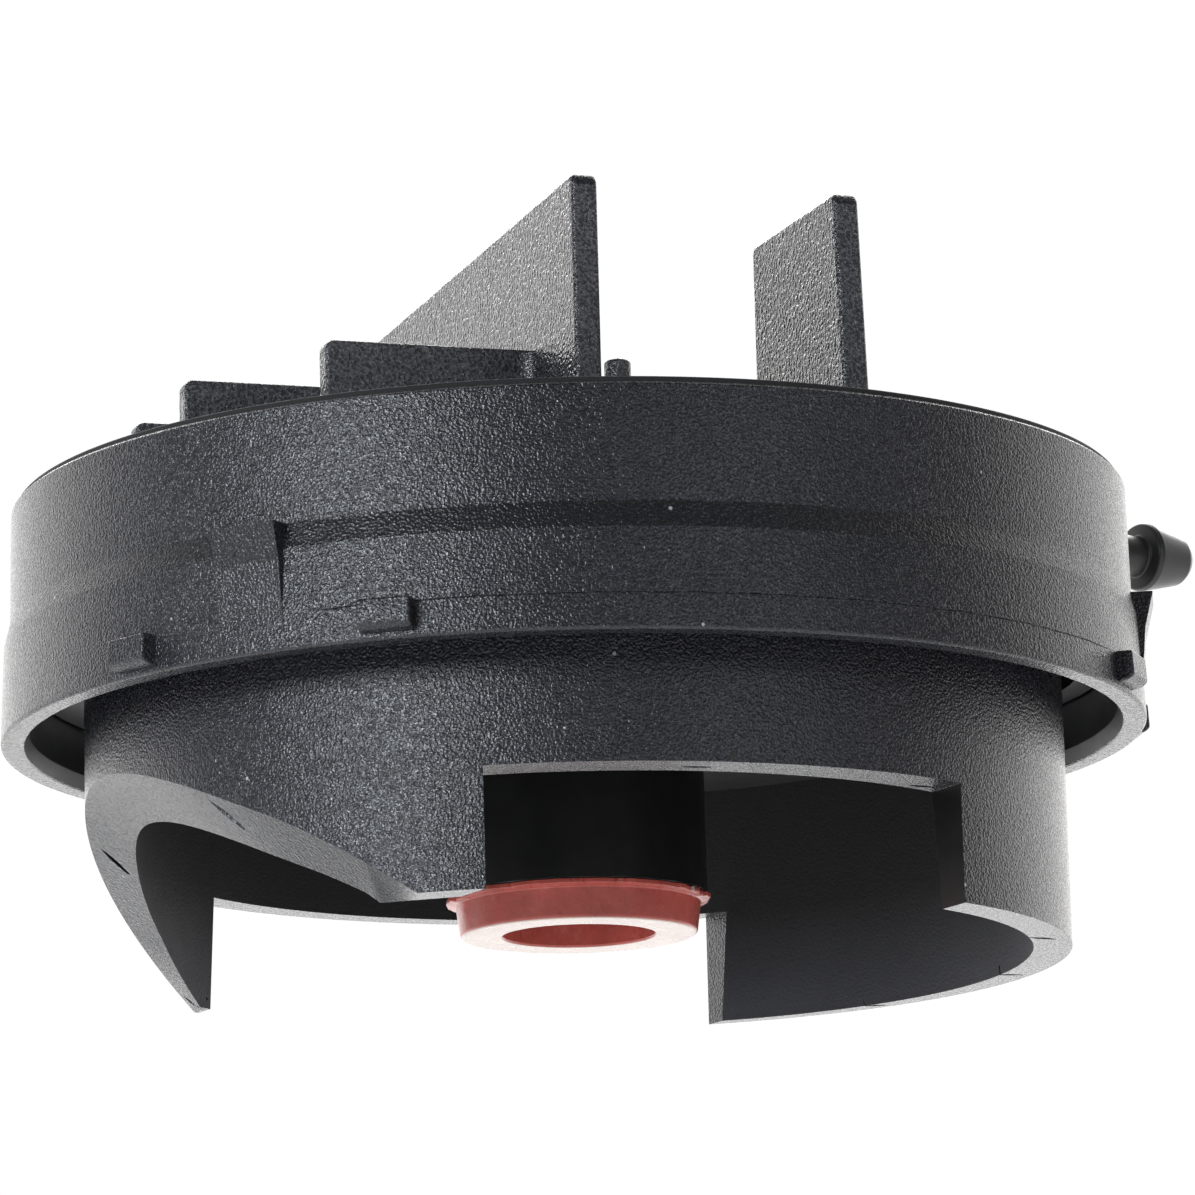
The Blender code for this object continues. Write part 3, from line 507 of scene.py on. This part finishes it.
def ring_shift(radius, height, angle):
    """Parting line round the front, and a slightly ragged lower edge."""
    if radius > RING_BORE + 1.5 and abs(height - PARTING_HEIGHT) < PARTING_HALF + 0.01:
        reach = smooth_step((angle - PARTING_FROM) / 4.0) * smooth_step((PARTING_TO - angle) / 6.0)
        if abs(height - PARTING_HEIGHT) < 0.01:
            radius -= PARTING_DEPTH * reach
        height += 0.10 * noise.noise(Vector((angle * 0.35, 0.0, 3.0))) * reach
    if height < 0.2:
        height += 0.05 * max(0.0, noise.noise(Vector((angle * 1.9, radius, 0.0))))
    return radius, height


def ring_block(shape, middle, half_width, profile, edge):
    """Add a block that stands proud of the ring, with a (radius, height) side profile."""
    placing = turn(middle) @ Matrix.Rotation(math.pi / 2, 4, "X")
    half = RING_FACE * math.radians(half_width)
    prism(shape, profile, -half, half, placing, edge)


def shroud_ring():
    """Shouldered ring with latch wedges and lugs."""
    outline = rounded([(53.35, RING_TOP, 0.40), (53.50, 22.70, 0.15), (53.85, 22.45, 0.20),
                       (54.02, 11.75, 0.9), (54.62, 9.35, 0.9), (RING_FACE, 0.0, 0.35), (52.75, 0.0, 0.25),
                       (RING_BORE, 1.5, 0.5), (RING_BORE, BAND_LOW, 0.2), (BAND_BORE, BAND_LOW, 0.2),
                       (BAND_BORE, BAND_HIGH, 0.2), (RING_BORE, BAND_HIGH, 0.2),
                       (RING_BORE, RING_TOP, 0.3)])
    at = next(i for i, p in enumerate(outline) if p.x > 54.4 and p.y < 5.0)
    lower, upper = outline[at - 1], outline[at]
    slope = (upper.x - lower.x) / (upper.y - lower.y)
    levels = (PARTING_HEIGHT + PARTING_HALF, PARTING_HEIGHT, PARTING_HEIGHT - PARTING_HALF)
    outline[at:at] = [Vector((lower.x + slope * (z - lower.y), z)) for z in levels]
    ring = lathe(outline, RING_SEGMENTS, ring_shift)
    blocks = bmesh.new()
    latch = [(53.2, 11.75), (56.1, 11.75), (55.25, 8.3), (54.80, 3.2), (53.2, 3.2)]
    lug = [(54.0, 0.45), (55.9, 0.85), (56.40, 1.3), (56.25, 3.6), (54.0, 3.6)]
    for middle in LATCH_ANGLES:
        ring_block(blocks, middle, LATCH_HALF_WIDTH, latch, 0.12)
        for side in (-LUG_OFFSET, LUG_OFFSET):
            ring_block(blocks, middle + side, LUG_HALF_WIDTH, lug, 0.22)
    shape = combined(ring, (blocks, "UNION"))
    item = piece("shroud_ring_fine", shape, [CASING, INNER, CASING_PAINTED_SHADE, RIM], "casing",
                 ["shroud_ring"])
    for face in item.data.polygons:
        spot = (face.center - AXIS) / MM
        radius = math.hypot(spot.x, spot.y)
        on_latch = radius > LATCH_SHADE_RADIUS and spot.z > LATCH_SHADE_LOW
        if spot.z > RIM_LOW:
            face.material_index = 3
        elif radius < RING_BORE + 0.35:
            face.material_index = 1
        # Shoulder band and latch faces take the copy of the casing with painted shade.
        elif spot.z < SHOULDER_HIGH and (spot.z > SHOULDER_LOW or on_latch):
            face.material_index = 2
    return item


# Coupling skirt

SKIRT_RADIUS = 47.0
SKIRT_LOW = -21.38
SKIRT_HIGH = 5.75
BORE_LOW = 43.3
BORE_HIGH = 40.7
WINDOW_TOP = -10.34
FRONT_WINDOW = (-28.9, 16.3)
REAR_WINDOW = (-20.9, 32.75)
FRONT_RAMP = (-33.6, 0.98)
REAR_RAMP = (-21.4, 0.70)
RAMP_BLEND = 19.2
EDGE_REACH = 16.0
THIN_BACK = 1.7
SKIRT_EDGE = 0.28
BORE_LIMIT = 45.3
NICK_WIDTH = 0.85
NICK_DEPTH = 0.9
EDGE_NICKS = (((223.9, 46.4), (227.6, 44.4)), ((177.7, 46.0), (174.8, 43.4)),
              ((148.6, 46.2), (147.2, 44.6)), ((347.5, 43.2), (350.5, 45.6)),
              ((20.0, 43.2), (19.5, 46.0)), ((50.4, 44.7), (47.9, 46.0)))
WINDOW_NICKS = (((282.0, 44.2), (286.0, 44.2)), ((314.4, 43.2), (318.4, 43.9)))


def skirt_edge(across, depth):
    """Height of the lower edge, where no window cuts it."""
    front = SKIRT_LOW + FRONT_RAMP[1] * (FRONT_RAMP[0] - across)
    rear = SKIRT_LOW + REAR_RAMP[1] * (REAR_RAMP[0] - across)
    share = smooth_step(0.5 + depth / (2 * RAMP_BLEND))
    return max(SKIRT_LOW, front + (rear - front) * share)


def window_edges():
    """Angles at which the windows' sides cut the outer face, each with its place across the skirt."""
    edges = []
    for limits, side in ((FRONT_WINDOW, -1), (REAR_WINDOW, 1)):
        for across in limits:
            edges.append((side * math.degrees(math.acos(across / SKIRT_RADIUS)), across, side))
    return edges


def bore_radius(height, station):
    """Inner radius of the tapered wall, which is a little thinner at the back."""
    share = (height - SKIRT_LOW) / (SKIRT_HIGH - SKIRT_LOW)
    back = max(0.0, math.sin(math.radians(station + SLIDE_ANGLE - 90.0)))
    thinning = THIN_BACK * smooth_step(back) * min(1.0, 2 * (1 - share))
    return BORE_LOW + (BORE_HIGH - BORE_LOW) * share + thinning


def skirt_point(radius, station, height, edges):
    """Point of the wall: windows' sides are parallel to the slide direction, not radial."""
    angle = station
    for edge, across, side in edges:
        near = max(0.0, 1.0 - abs(station - edge) / EDGE_REACH)
        angle += near * (side * math.degrees(math.acos(across / radius)) - edge)
    return polar(radius, angle + SLIDE_ANGLE - 90.0, height)


def nick(shape, start, end, in_window):
    """Add a thin cutter between two (angle, radius) spots of the skirt's lower edge."""
    spots = []
    for angle, radius in (start, end):
        level = polar(radius, angle + 90.0 - SLIDE_ANGLE)
        height = WINDOW_TOP if in_window else skirt_edge(level.x, level.y)
        spots.append(polar(radius, angle, height))
    along = spots[1] - spots[0]
    length = along.length
    along.normalize()
    side = along.cross(Vector((0.0, 0.0, 1.0))).normalized()
    basis = Matrix((along, side, along.cross(side))).transposed().to_4x4()
    half = NICK_WIDTH / 2
    outline = [(0.0, 0.0), (0.4 * length, -half), (length, -half / 2), (length, half / 2),
               (0.5 * length, half)]
    prism(shape, outline, -NICK_DEPTH, NICK_DEPTH, Matrix.Translation(spots[0]) @ basis)


def coupling_skirt():
    """Notched collar."""
    edges = window_edges()
    cuts = sorted(e[0] for e in edges)
    stations = []
    for k in range(-360, 360):
        station = k / 2
        if all(abs(station - cut) > 0.4 for cut in cuts):
            stations.append((station, cuts[0] < station < cuts[1] or cuts[2] < station < cuts[3]))
    for k, cut in enumerate(cuts):
        stations.append((cut - 1e-6, k % 2 == 1))
        stations.append((cut + 1e-6, k % 2 == 0))
    stations.sort()
    shape = bmesh.new()
    columns = []
    for station, open_below in stations:
        outer = polar(SKIRT_RADIUS, station)
        low_out = WINDOW_TOP if open_below else skirt_edge(outer.x, outer.y)
        guess = polar(bore_radius(low_out, station), station)
        low_in = WINDOW_TOP if open_below else skirt_edge(guess.x, guess.y)
        middle = max(low_in, WINDOW_TOP)
        spots = ((SKIRT_RADIUS, SKIRT_HIGH), (SKIRT_RADIUS, max(low_out, WINDOW_TOP)),
                 (SKIRT_RADIUS, low_out), (bore_radius(low_in, station), low_in),
                 (bore_radius(middle, station), middle), (BORE_HIGH, SKIRT_HIGH))
        columns.append([shape.verts.new(skirt_point(r, station, z, edges)) for r, z in spots])
    for i, column in enumerate(columns):
        following = columns[(i + 1) % len(columns)]
        count = len(column)
        for k in range(count):
            other = (k + 1) % count
            shape.faces.new((column[k], column[other], following[other], following[k]))
    bmesh.ops.remove_doubles(shape, verts=shape.verts, dist=0.0005)
    loose_faces = [f for f in shape.faces if f.calc_area() < 1e-6]
    bmesh.ops.delete(shape, geom=loose_faces, context="FACES")
    bmesh.ops.recalc_face_normals(shape, faces=shape.faces)
    limit = math.radians(SHARP_ANGLE)
    sharp = [e for e in shape.edges if len(e.link_faces) == 2 and e.calc_face_angle() > limit]
    bmesh.ops.bevel(shape, geom=sharp, offset=SKIRT_EDGE, segments=EDGE_STEPS, profile=0.5,
                    affect="EDGES", clamp_overlap=True)
    nicks = bmesh.new()
    for start, end in EDGE_NICKS:
        nick(nicks, start, end, False)
    for start, end in WINDOW_NICKS:
        nick(nicks, start, end, True)
    shape = combined(shape, (nicks, "DIFFERENCE"))
    item = piece("coupling_skirt_fine", shape, [CASING, BORE, TUBE], "casing",
                 ["coupling_skirt"])
    across = polar(1.0, SLIDE_ANGLE - 90.0)
    for face in item.data.polygons:
        spot = (face.center - AXIS) / MM
        radius = math.hypot(spot.x, spot.y)
        outward = (face.normal.x * spot.x + face.normal.y * spot.y) / radius
        if radius < BORE_LIMIT and outward < -0.5 and abs(face.normal.z) < 0.5:
            face.material_index = 1
        # Side faces of the front window take the near-black tube material: painted shade.
        elif spot.y < 0 and abs(face.normal.dot(across)) > 0.9 and outward < 0.7:
            face.material_index = 2
    return item


# Hub

def hub_tube():
    """Smooth flanged tube."""
    outline = rounded([(19.5, 6.2, 0.3), (19.5, 4.45, 0.2), (12.4, 4.45, 0.2), (12.4, -15.1, 0.12),
                       (9.8, -15.1, 0.1), (9.8, -9.2, 0.2), (7.7, -9.2, 0.2), (7.7, -1.2, 0.2),
                       (5.75, -1.2, 0.2), (5.75, 6.2, 0.2)])
    shape = lathe(outline, FINE_SEGMENTS)
    piece("hub_tube_fine", shape, TUBE, "casing", ["hub_tube"])


SEAL_LOW = -18.76
FLASH_RADIUS = 12.2
TORN_RADIUS = 12.95
TEARS = ((205.0, 14.0), (338.0, 16.0))


def seal_shift(radius, height, angle):
    """Thin torn flash along the seal's upper edge."""
    if radius > FLASH_RADIUS:
        ragged = 0.35 * noise.noise(Vector((angle * 0.09, 0.0, 1.0)))
        ragged += 0.25 * noise.noise(Vector((angle * 0.5, 2.0, 0.0)))
        torn = 0.0
        for middle, width in TEARS:
            torn = max(torn, 1.0 - ((angle - middle) / width) ** 2)
        radius += ragged + 0.55 * torn * (0.6 + 0.8 * noise.noise(Vector((angle * 0.8, 5.0, 5.0))))
        height -= 0.5 * max(0.0, torn) * (0.5 + noise.noise(Vector((angle * 0.4, 9.0, 0.0))))
    return radius, height


def shaft_seal():
    """Rubber seal with a bevelled mouth."""
    outline = rounded([(9.5, -9.5, 0.2), (9.5, -15.14, 0.05), (12.55, -15.14, 0.06), (12.55, -15.55, 0.06),
                       (11.75, -15.8, 0.15), (11.35, SEAL_LOW, 0.40), (7.42, SEAL_LOW, 0.1),
                       (7.27, -18.55, 0.1), (7.27, -9.5, 0.2)])
    shape = lathe(outline, 256, seal_shift)
    item = piece("shaft_seal_fine", shape, [SEAL, SEAL_PAINTED_LIGHT_AND_FLASH], "casing", ["shaft_seal"])
    for face in item.data.polygons:
        spot = (face.center - AXIS) / MM
        # The underside takes the pale copy as painted light; the torn flash takes it as its own pale
        # colour.
        if spot.z < SEAL_LOW + 0.11 or math.hypot(spot.x, spot.y) > TORN_RADIUS:
            face.material_index = 1


# Intake grille

PLATE_HALF = 1.25
COVER_HIGH = 22.4
PLATFORM_HIGH = 23.6
PLATFORM_RADIUS = 43.6
RIB_HIGH = 31.38
PLATE_HIGH = 45.0
RIB_END_RADIUS = 42.1
LONG_PLATE_OFFSET = -11.0
SHORT_PLATE_NEAR = (26.4, -32.9)
SHORT_PLATE_TURN = 20.5
SHORT_PLATE_LENGTH = 20.3
PIN_PLACE = (5.4, 28.9)
PIN_RADIUS = 1.38
RIB_PLACES = (-27.08, -9.56, 7.96, 25.48)
SLOT_PITCH = 4.38
SLOT_HALF = 1.3
SLOT_REACH = 39.5
CUT_HIGH = 25.0
DRILL_RADIUS = 1.5
SLOT_MARGIN = 3.0
SHORTEST_SLOT = 6.0
FILLET = 1.6
SLOT_CLEARING = 10.2
NIPPLE_HEIGHT = 26.1


def to_ribs(x, y):
    """Coordinates of a point along and across the ribs."""
    angle = math.radians(RIB_TURN)
    return x * math.cos(angle) + y * math.sin(angle), y * math.cos(angle) - x * math.sin(angle)


def slot_spans(across):
    """Stretches along one slot line that nothing on the grille stands on."""
    reach = math.sqrt(SLOT_REACH ** 2 - across ** 2)
    blocked = [(LONG_PLATE_OFFSET - SLOT_MARGIN, LONG_PLATE_OFFSET + SLOT_MARGIN)]
    if abs(across) < SLOT_CLEARING:
        half = math.sqrt(SLOT_CLEARING ** 2 - across ** 2)
        blocked.append((-half, half))
    plate_along, plate_across = to_ribs(*SHORT_PLATE_NEAR)
    if plate_across - SLOT_MARGIN < across < plate_across + SHORT_PLATE_LENGTH + SLOT_MARGIN:
        blocked.append((plate_along - SLOT_MARGIN, plate_along + SLOT_MARGIN))
    pin_along, pin_across = to_ribs(*PIN_PLACE)
    if abs(across - pin_across) < PIN_RADIUS + SLOT_MARGIN:
        blocked.append((pin_along - SLOT_MARGIN, pin_along + SLOT_MARGIN))
    boss_start, boss_across = to_ribs(*polar(33.4, NIPPLE_ANGLE).xy)
    if abs(across - boss_across) < SLOT_CLEARING:
        blocked.append((boss_start - SLOT_MARGIN, reach + 0.01))
    spans = []
    start = -reach
    for low, high in sorted(blocked):
        if low - start > SHORTEST_SLOT:
            spans.append((start, low))
        start = max(start, high)
    if reach - start > SHORTEST_SLOT:
        spans.append((start, reach))
    return spans


def corner_fillet(shape, along, across, foot):
    """Rounded inside corner where a rib meets the long plate."""
    outline = [(along + 0.3, across + 0.3), (along - FILLET, across + 0.3)]
    for k in range(7):
        angle = math.radians(90.0 - 15.0 * k)
        outline.append((along - FILLET + FILLET * math.cos(angle),
                        across - FILLET + FILLET * math.sin(angle)))
    outline.append((along + 0.3, across - FILLET))
    prism(shape, outline, foot, RIB_HIGH - 0.4, turn(RIB_TURN))


def nipple_placing():
    """Matrix that lays a lathed shape along the nipple's axis."""
    raised = Matrix.Translation((0.0, 0.0, NIPPLE_HEIGHT))
    return turn(NIPPLE_ANGLE) @ raised @ Matrix.Rotation(math.pi / 2, 4, "Y")


def intake_grille():
    """Slotted cover with its ribs, plates, pin and bosses."""
    outline = rounded([(0.0, 26.2, 0.0), (7.6, 26.2, 0.5), (7.6, PLATFORM_HIGH, 0.5),
                       (PLATFORM_RADIUS, PLATFORM_HIGH, 0.4), (PLATFORM_RADIUS, COVER_HIGH, 0.3),
                       (51.4, COVER_HIGH, 0.4), (51.4, 20.0, 0.3), (5.5, 20.0, 0.2), (5.5, 24.6, 0.2),
                       (0.0, 24.6, 0.0)])
    base = lathe(outline, 192)
    slots = bmesh.new()
    for i in range(-3, 20):
        across = RIB_PLACES[0] + SLOT_PITCH * i
        if i % 4 == 0 or abs(across) > SLOT_REACH - 2 * SLOT_HALF:
            continue
        for start, end in slot_spans(across):
            prism(slots, stadium(start, end, across, SLOT_HALF), 19.0, CUT_HIGH, turn(RIB_TURN))
    drill = bmesh.new()
    for angle in POST_ANGLES:
        hole = [polar(DRILL_RADIUS, k * 15.0) + polar(POST_RADIUS, angle) for k in range(24)]
        prism(drill, hole, 18.0, CUT_HIGH)
    plates = bmesh.new()
    foot = PLATFORM_HIGH - 1.2
    reach = math.sqrt(RIB_END_RADIUS ** 2 - LONG_PLATE_OFFSET ** 2)
    upright = Matrix.Rotation(math.pi / 2, 4, "X")
    profile = rounded([(-reach, foot, 0.0), (reach, foot, 0.0), (reach, PLATE_HIGH, 0.9),
                       (-reach, PLATE_HIGH, 0.9)], 5)
    along = turn(RIB_TURN + 90.0) @ Matrix.Translation((0.0, -LONG_PLATE_OFFSET, 0.0)) @ upright
    prism(plates, profile, -PLATE_HALF, PLATE_HALF, along, 0.40)
    profile = rounded([(-1.4, foot, 0.0), (SHORT_PLATE_LENGTH, foot, 0.0),
                       (SHORT_PLATE_LENGTH, PLATE_HIGH, 0.9), (0.0, PLATE_HIGH, 0.9)], 5)
    near = Matrix.Translation((*SHORT_PLATE_NEAR, 0.0)) @ turn(SHORT_PLATE_TURN + 90.0) @ upright
    prism(plates, profile, -PLATE_HALF, PLATE_HALF, near, 0.40)
    ribs = bmesh.new()
    fillets = bmesh.new()
    for across in RIB_PLACES:
        start = -math.sqrt(RIB_END_RADIUS ** 2 - across ** 2)
        profile = rounded([(start, foot, 0.0), (LONG_PLATE_OFFSET, foot, 0.0),
                           (LONG_PLATE_OFFSET, RIB_HIGH, 0.0), (start, RIB_HIGH, 0.9)], 5)
        line = turn(RIB_TURN) @ Matrix.Translation((0.0, across, 0.0)) @ upright
        prism(ribs, profile, -PLATE_HALF, PLATE_HALF, line, 0.35)
        corner_fillet(fillets, LONG_PLATE_OFFSET - PLATE_HALF, across - PLATE_HALF, foot - 0.5)
    bosses = bmesh.new()
    pin = rounded([(0.0, PLATE_HIGH, 0.0), (PIN_RADIUS, PLATE_HIGH, 0.4), (PIN_RADIUS, foot, 0.0),
                   (0.0, foot, 0.0)])
    part = lathe(pin, 32)
    bmesh.ops.translate(part, verts=part.verts, vec=(*PIN_PLACE, 0.0))
    absorb(bosses, part)
    boss = rounded([(0.0, 36.0, 0.0), (4.2, 36.0, 0.4), (4.2, 46.9, 0.4), (3.6, 46.9, 0.1),
                    (3.6, 45.5, 0.1), (2.4, 45.5, 0.1), (2.4, 38.0, 0.0), (0.0, 38.0, 0.0)])
    part = lathe(boss, 64)
    bmesh.ops.transform(part, matrix=nipple_placing(), verts=part.verts)
    absorb(bosses, part)
    shape = combined(base, (slots, "DIFFERENCE"), (drill, "DIFFERENCE"), (plates, "UNION"), (ribs, "UNION"),
                     (fillets, "UNION"), (bosses, "UNION"))
    item = piece("intake_grille_fine", shape, [CASING, CASING_PAINTED_LIGHT, RUGGED], "casing",
                 ["intake_grille"])
    front = polar(1.0, RIB_TURN - 90.0)
    left = polar(1.0, RIB_TURN + 180.0)
    for face in item.data.polygons:
        if (face.center - AXIS).z > (PLATFORM_HIGH + 0.4) * MM:
            # Faces turned to the front take the lighter copy of the casing: painted light.
            if face.normal.dot(front) > 0.9:
                face.material_index = 1
            elif face.normal.dot(left) > 0.9:
                face.material_index = 2


def air_nipple():
    """Hose barb."""
    outline = rounded([(1.2, 78.9, 0.25), (1.9, 78.9, 0.45), (2.55, 78.1, 0.5), (3.6, 73.6, 0.35),
                       (3.45, 73.0, 0.3), (2.1, 72.9, 0.3), (2.1, 48.6, 0.5), (3.6, 48.6, 0.2),
                       (3.6, 47.2, 0.2), (2.1, 47.2, 0.2), (2.1, 40.0, 0.2), (1.2, 40.0, 0.1)])
    shape = lathe(outline, 64)
    piece("air_nipple_fine", shape, INNER, "casing", ["air_nipple"], nipple_placing())


# Screws

def pan_screw(name, spot, seat, length, node):
    """Pan-head screw with a slot."""
    low = seat + 0.3
    high = low + 1.3
    outline = rounded([(0.0, high, 0.0), (2.6, high, 0.9), (2.6, low, 0.2), (1.2, low, 0.1),
                       (1.2, seat - length + 0.8, 0.0), (0.0, seat - length, 0.0)])
    groove = bmesh.new()
    prism(groove, box_outline(-4.0, 4.0, -0.3, 0.3), high - 0.7, high + 1.0)
    shape = combined(lathe(outline, SMALL_SEGMENTS), (groove, "DIFFERENCE"))
    place = Matrix.Translation((spot.x, spot.y, 0.0))
    piece(name, shape, STEEL, "casing", [node], place)


def screws():
    """Heads that show."""
    for i, angle in enumerate(POST_ANGLES, 1):
        pan_screw(f"grille_screw_fine_{i}", polar(POST_RADIUS, angle), COVER_HIGH, 9.5, f"grille_screw_{i}")
    for i, angle in enumerate(TUBE_SCREW_ANGLES, 1):
        pan_screw(f"tube_screw_fine_{i}", polar(TUBE_SCREW_RADIUS, angle), 6.2, 4.2, f"tube_screw_{i}")


# Impeller

BLADES = 5
BLADE_STEPS = 20
BLADE_SWEEP = 40.0
BLADE_LOW = 9.8
BLADE_RISE = 6.0
BLADE_HALF = 0.8
BLADE_TIP = 43.0


def blade(shape, start, radii):
    """Add one helical blade to a bmesh."""
    layers = []
    for radius in radii:
        row = []
        for i in range(BLADE_STEPS + 1):
            share = i / BLADE_STEPS
            centre = BLADE_LOW + BLADE_HALF + BLADE_RISE * share
            half = BLADE_HALF * (0.35 + 2.6 * share * (1 - share))
            angle = start + BLADE_SWEEP * share
            row.append([shape.verts.new(polar(radius, angle, centre + side * half)) for side in (-1, 1)])
        layers.append(row)
    for near, far in zip(layers, layers[1:]):
        for i in range(BLADE_STEPS):
            for side in (0, 1):
                shape.faces.new((near[i][side], near[i + 1][side], far[i + 1][side], far[i][side]))
        for i in (0, BLADE_STEPS):
            shape.faces.new((near[i][0], near[i][1], far[i][1], far[i][0]))
    for row in (layers[0], layers[-1]):
        for i in range(BLADE_STEPS):
            shape.faces.new((row[i][0], row[i + 1][0], row[i + 1][1], row[i][1]))


def impeller():
    """Hub with helical blades."""
    outline = rounded([(7.3, 18.2, 0.0), (8.5, 17.0, 0.6), (8.5, 9.0, 0.4), (3.2, 9.0, 0.1),
                       (3.2, 18.2, 0.1)])
    wheel = lathe(outline, 96)
    blades = bmesh.new()
    radii = [7.9] + [10.0 + 3.0 * k for k in range(11)] + [BLADE_TIP]
    for i in range(BLADES):
        blade(blades, FULL_TURN / BLADES * i, radii)
    bmesh.ops.recalc_face_normals(blades, faces=blades.faces)
    shape = combined(wheel, (blades, "UNION"))
    piece("impeller_fine", shape, WHEEL, "rotor", ["impeller"])


def dress_solids():
    """Materials and shading of the solids that stay in view."""
    looks = {"deck_plate": INNER, "lower_bush": CERAMIC, "upper_bush": CERAMIC, "thrust_washer": STEEL,
             "nipple_seal": RUBBER, "deck_seal": RUBBER, "drive_shaft": STEEL, "drive_coupling": WHEEL,
             "coupling_pin": STEEL, "shaft_circlip": STEEL, "skirt_screw_1": STEEL, "skirt_screw_2": STEEL,
             "skirt_screw_3": STEEL, "skirt_screw_4": STEEL}
    for node, look in looks.items():
        item = frame["nodes"][node]
        item.data.materials.clear()
        item.data.materials.append(look)
        shade(item)


# Stage

FLOOR_HALF = 2.5
FLOOR_HEIGHT = -0.16


def floor():
    """Plain pale floor, well below the part."""
    corners = box_outline(-FLOOR_HALF, FLOOR_HALF, -FLOOR_HALF, FLOOR_HALF)
    shape = bmesh.new()
    shape.faces.new([shape.verts.new((x, y, FLOOR_HEIGHT)) for x, y in corners])
    mesh = bpy.data.meshes.new("stage_floor")
    shape.to_mesh(mesh)
    shape.free()
    item = bpy.data.objects.new("stage_floor", mesh)
    bpy.context.scene.collection.objects.link(item)
    paint = Paint("floor_white", 0.6)
    paint.colour(paint.mix(paint.noise(3.0, 2.0), (0.86, 0.86, 0.86), (0.90, 0.90, 0.90)))
    mesh.materials.append(paint.made)


def world():
    """White surroundings that are brightest behind the part."""
    made = bpy.data.worlds.new("studio")
    bpy.context.scene.world = made
    made.use_nodes = True
    tree = made.node_tree
    tree.nodes.clear()
    direction = tree.nodes.new("ShaderNodeTexCoord").outputs["Generated"]
    split = tree.nodes.new("ShaderNodeSeparateXYZ")
    tree.links.new(direction, split.inputs["Vector"])
    back = tree.nodes.new("ShaderNodeMapRange")
    back.interpolation_type = "SMOOTHSTEP"
    back.inputs["From Min"].default_value = -0.15
    back.inputs["From Max"].default_value = 0.85
    back.inputs["To Min"].default_value = 0.15
    back.inputs["To Max"].default_value = 1.95
    tree.links.new(split.outputs["Y"], back.inputs["Value"])
    light = tree.nodes.new("ShaderNodeBackground")
    light.inputs["Color"].default_value = (1.0, 0.99, 0.98, 1.0)
    tree.links.new(back.outputs["Result"], light.inputs["Strength"])
    seen = tree.nodes.new("ShaderNodeBackground")
    seen.inputs["Color"].default_value = (1.0, 1.0, 1.0, 1.0)
    seen.inputs["Strength"].default_value = 1.02
    path = tree.nodes.new("ShaderNodeLightPath")
    blend = tree.nodes.new("ShaderNodeMixShader")
    tree.links.new(path.outputs["Is Camera Ray"], blend.inputs["Fac"])
    tree.links.new(light.outputs["Background"], blend.inputs[1])
    tree.links.new(seen.outputs["Background"], blend.inputs[2])
    output = tree.nodes.new("ShaderNodeOutputWorld")
    tree.links.new(blend.outputs["Shader"], output.inputs["Surface"])


def soft_box(name, azimuth, elevation, distance, size, power, colour=(1.0, 1.0, 1.0)):
    """Area light that looks at the part; azimuth 0 is the front and grows to the right."""
    data = bpy.data.lights.new(name, "AREA")
    data.shape = "RECTANGLE"
    data.size = size[0]
    data.size_y = size[1]
    data.energy = power
    data.color = colour
    item = bpy.data.objects.new(name, data)
    side = math.radians(azimuth)
    lift = math.radians(elevation)
    out = Vector((math.sin(side) * math.cos(lift), -math.cos(side) * math.cos(lift), math.sin(lift)))
    item.location = AXIS + out * distance
    item.rotation_euler = (-out).to_track_quat("-Z", "Y").to_euler()
    bpy.context.scene.collection.objects.link(item)


def floor_light():
    """Large soft light over the floor behind the part, for the glow from below."""
    data = bpy.data.lights.new("floor_light", "AREA")
    data.size = 1.2
    data.energy = 24.5
    item = bpy.data.objects.new("floor_light", data)
    item.location = (0.0, 1.2, 0.75)
    bpy.context.scene.collection.objects.link(item)


def camera():
    """Long lens from slightly below the part."""
    data = bpy.data.cameras.new("camera")
    data.sensor_width = 36.0
    data.lens = 187.19
    data.clip_start = 0.01
    data.clip_end = 20.0
    item = bpy.data.objects.new("camera", data)
    item.location = AXIS + Vector((0.0, -0.58838, -0.10865))
    item.rotation_euler = tuple(math.radians(a) for a in (101.8039, 1.4763, 0.0541))
    bpy.context.scene.collection.objects.link(item)
    bpy.context.scene.camera = item


shroud_ring()
coupling_skirt()
hub_tube()
shaft_seal()
intake_grille()
air_nipple()
screws()
impeller()
dress_solids()
floor()
world()
soft_box("key_light", -41.0, 11.0, 0.75, (0.34, 0.18), 3.9, (0.88, 0.94, 1.0))
soft_box("fill_light", 38.0, 12.0, 0.9, (0.24, 0.20), 0.6, (0.93, 0.96, 1.0))
floor_light()
camera()
bpy.context.scene.view_settings.view_transform = "Standard"
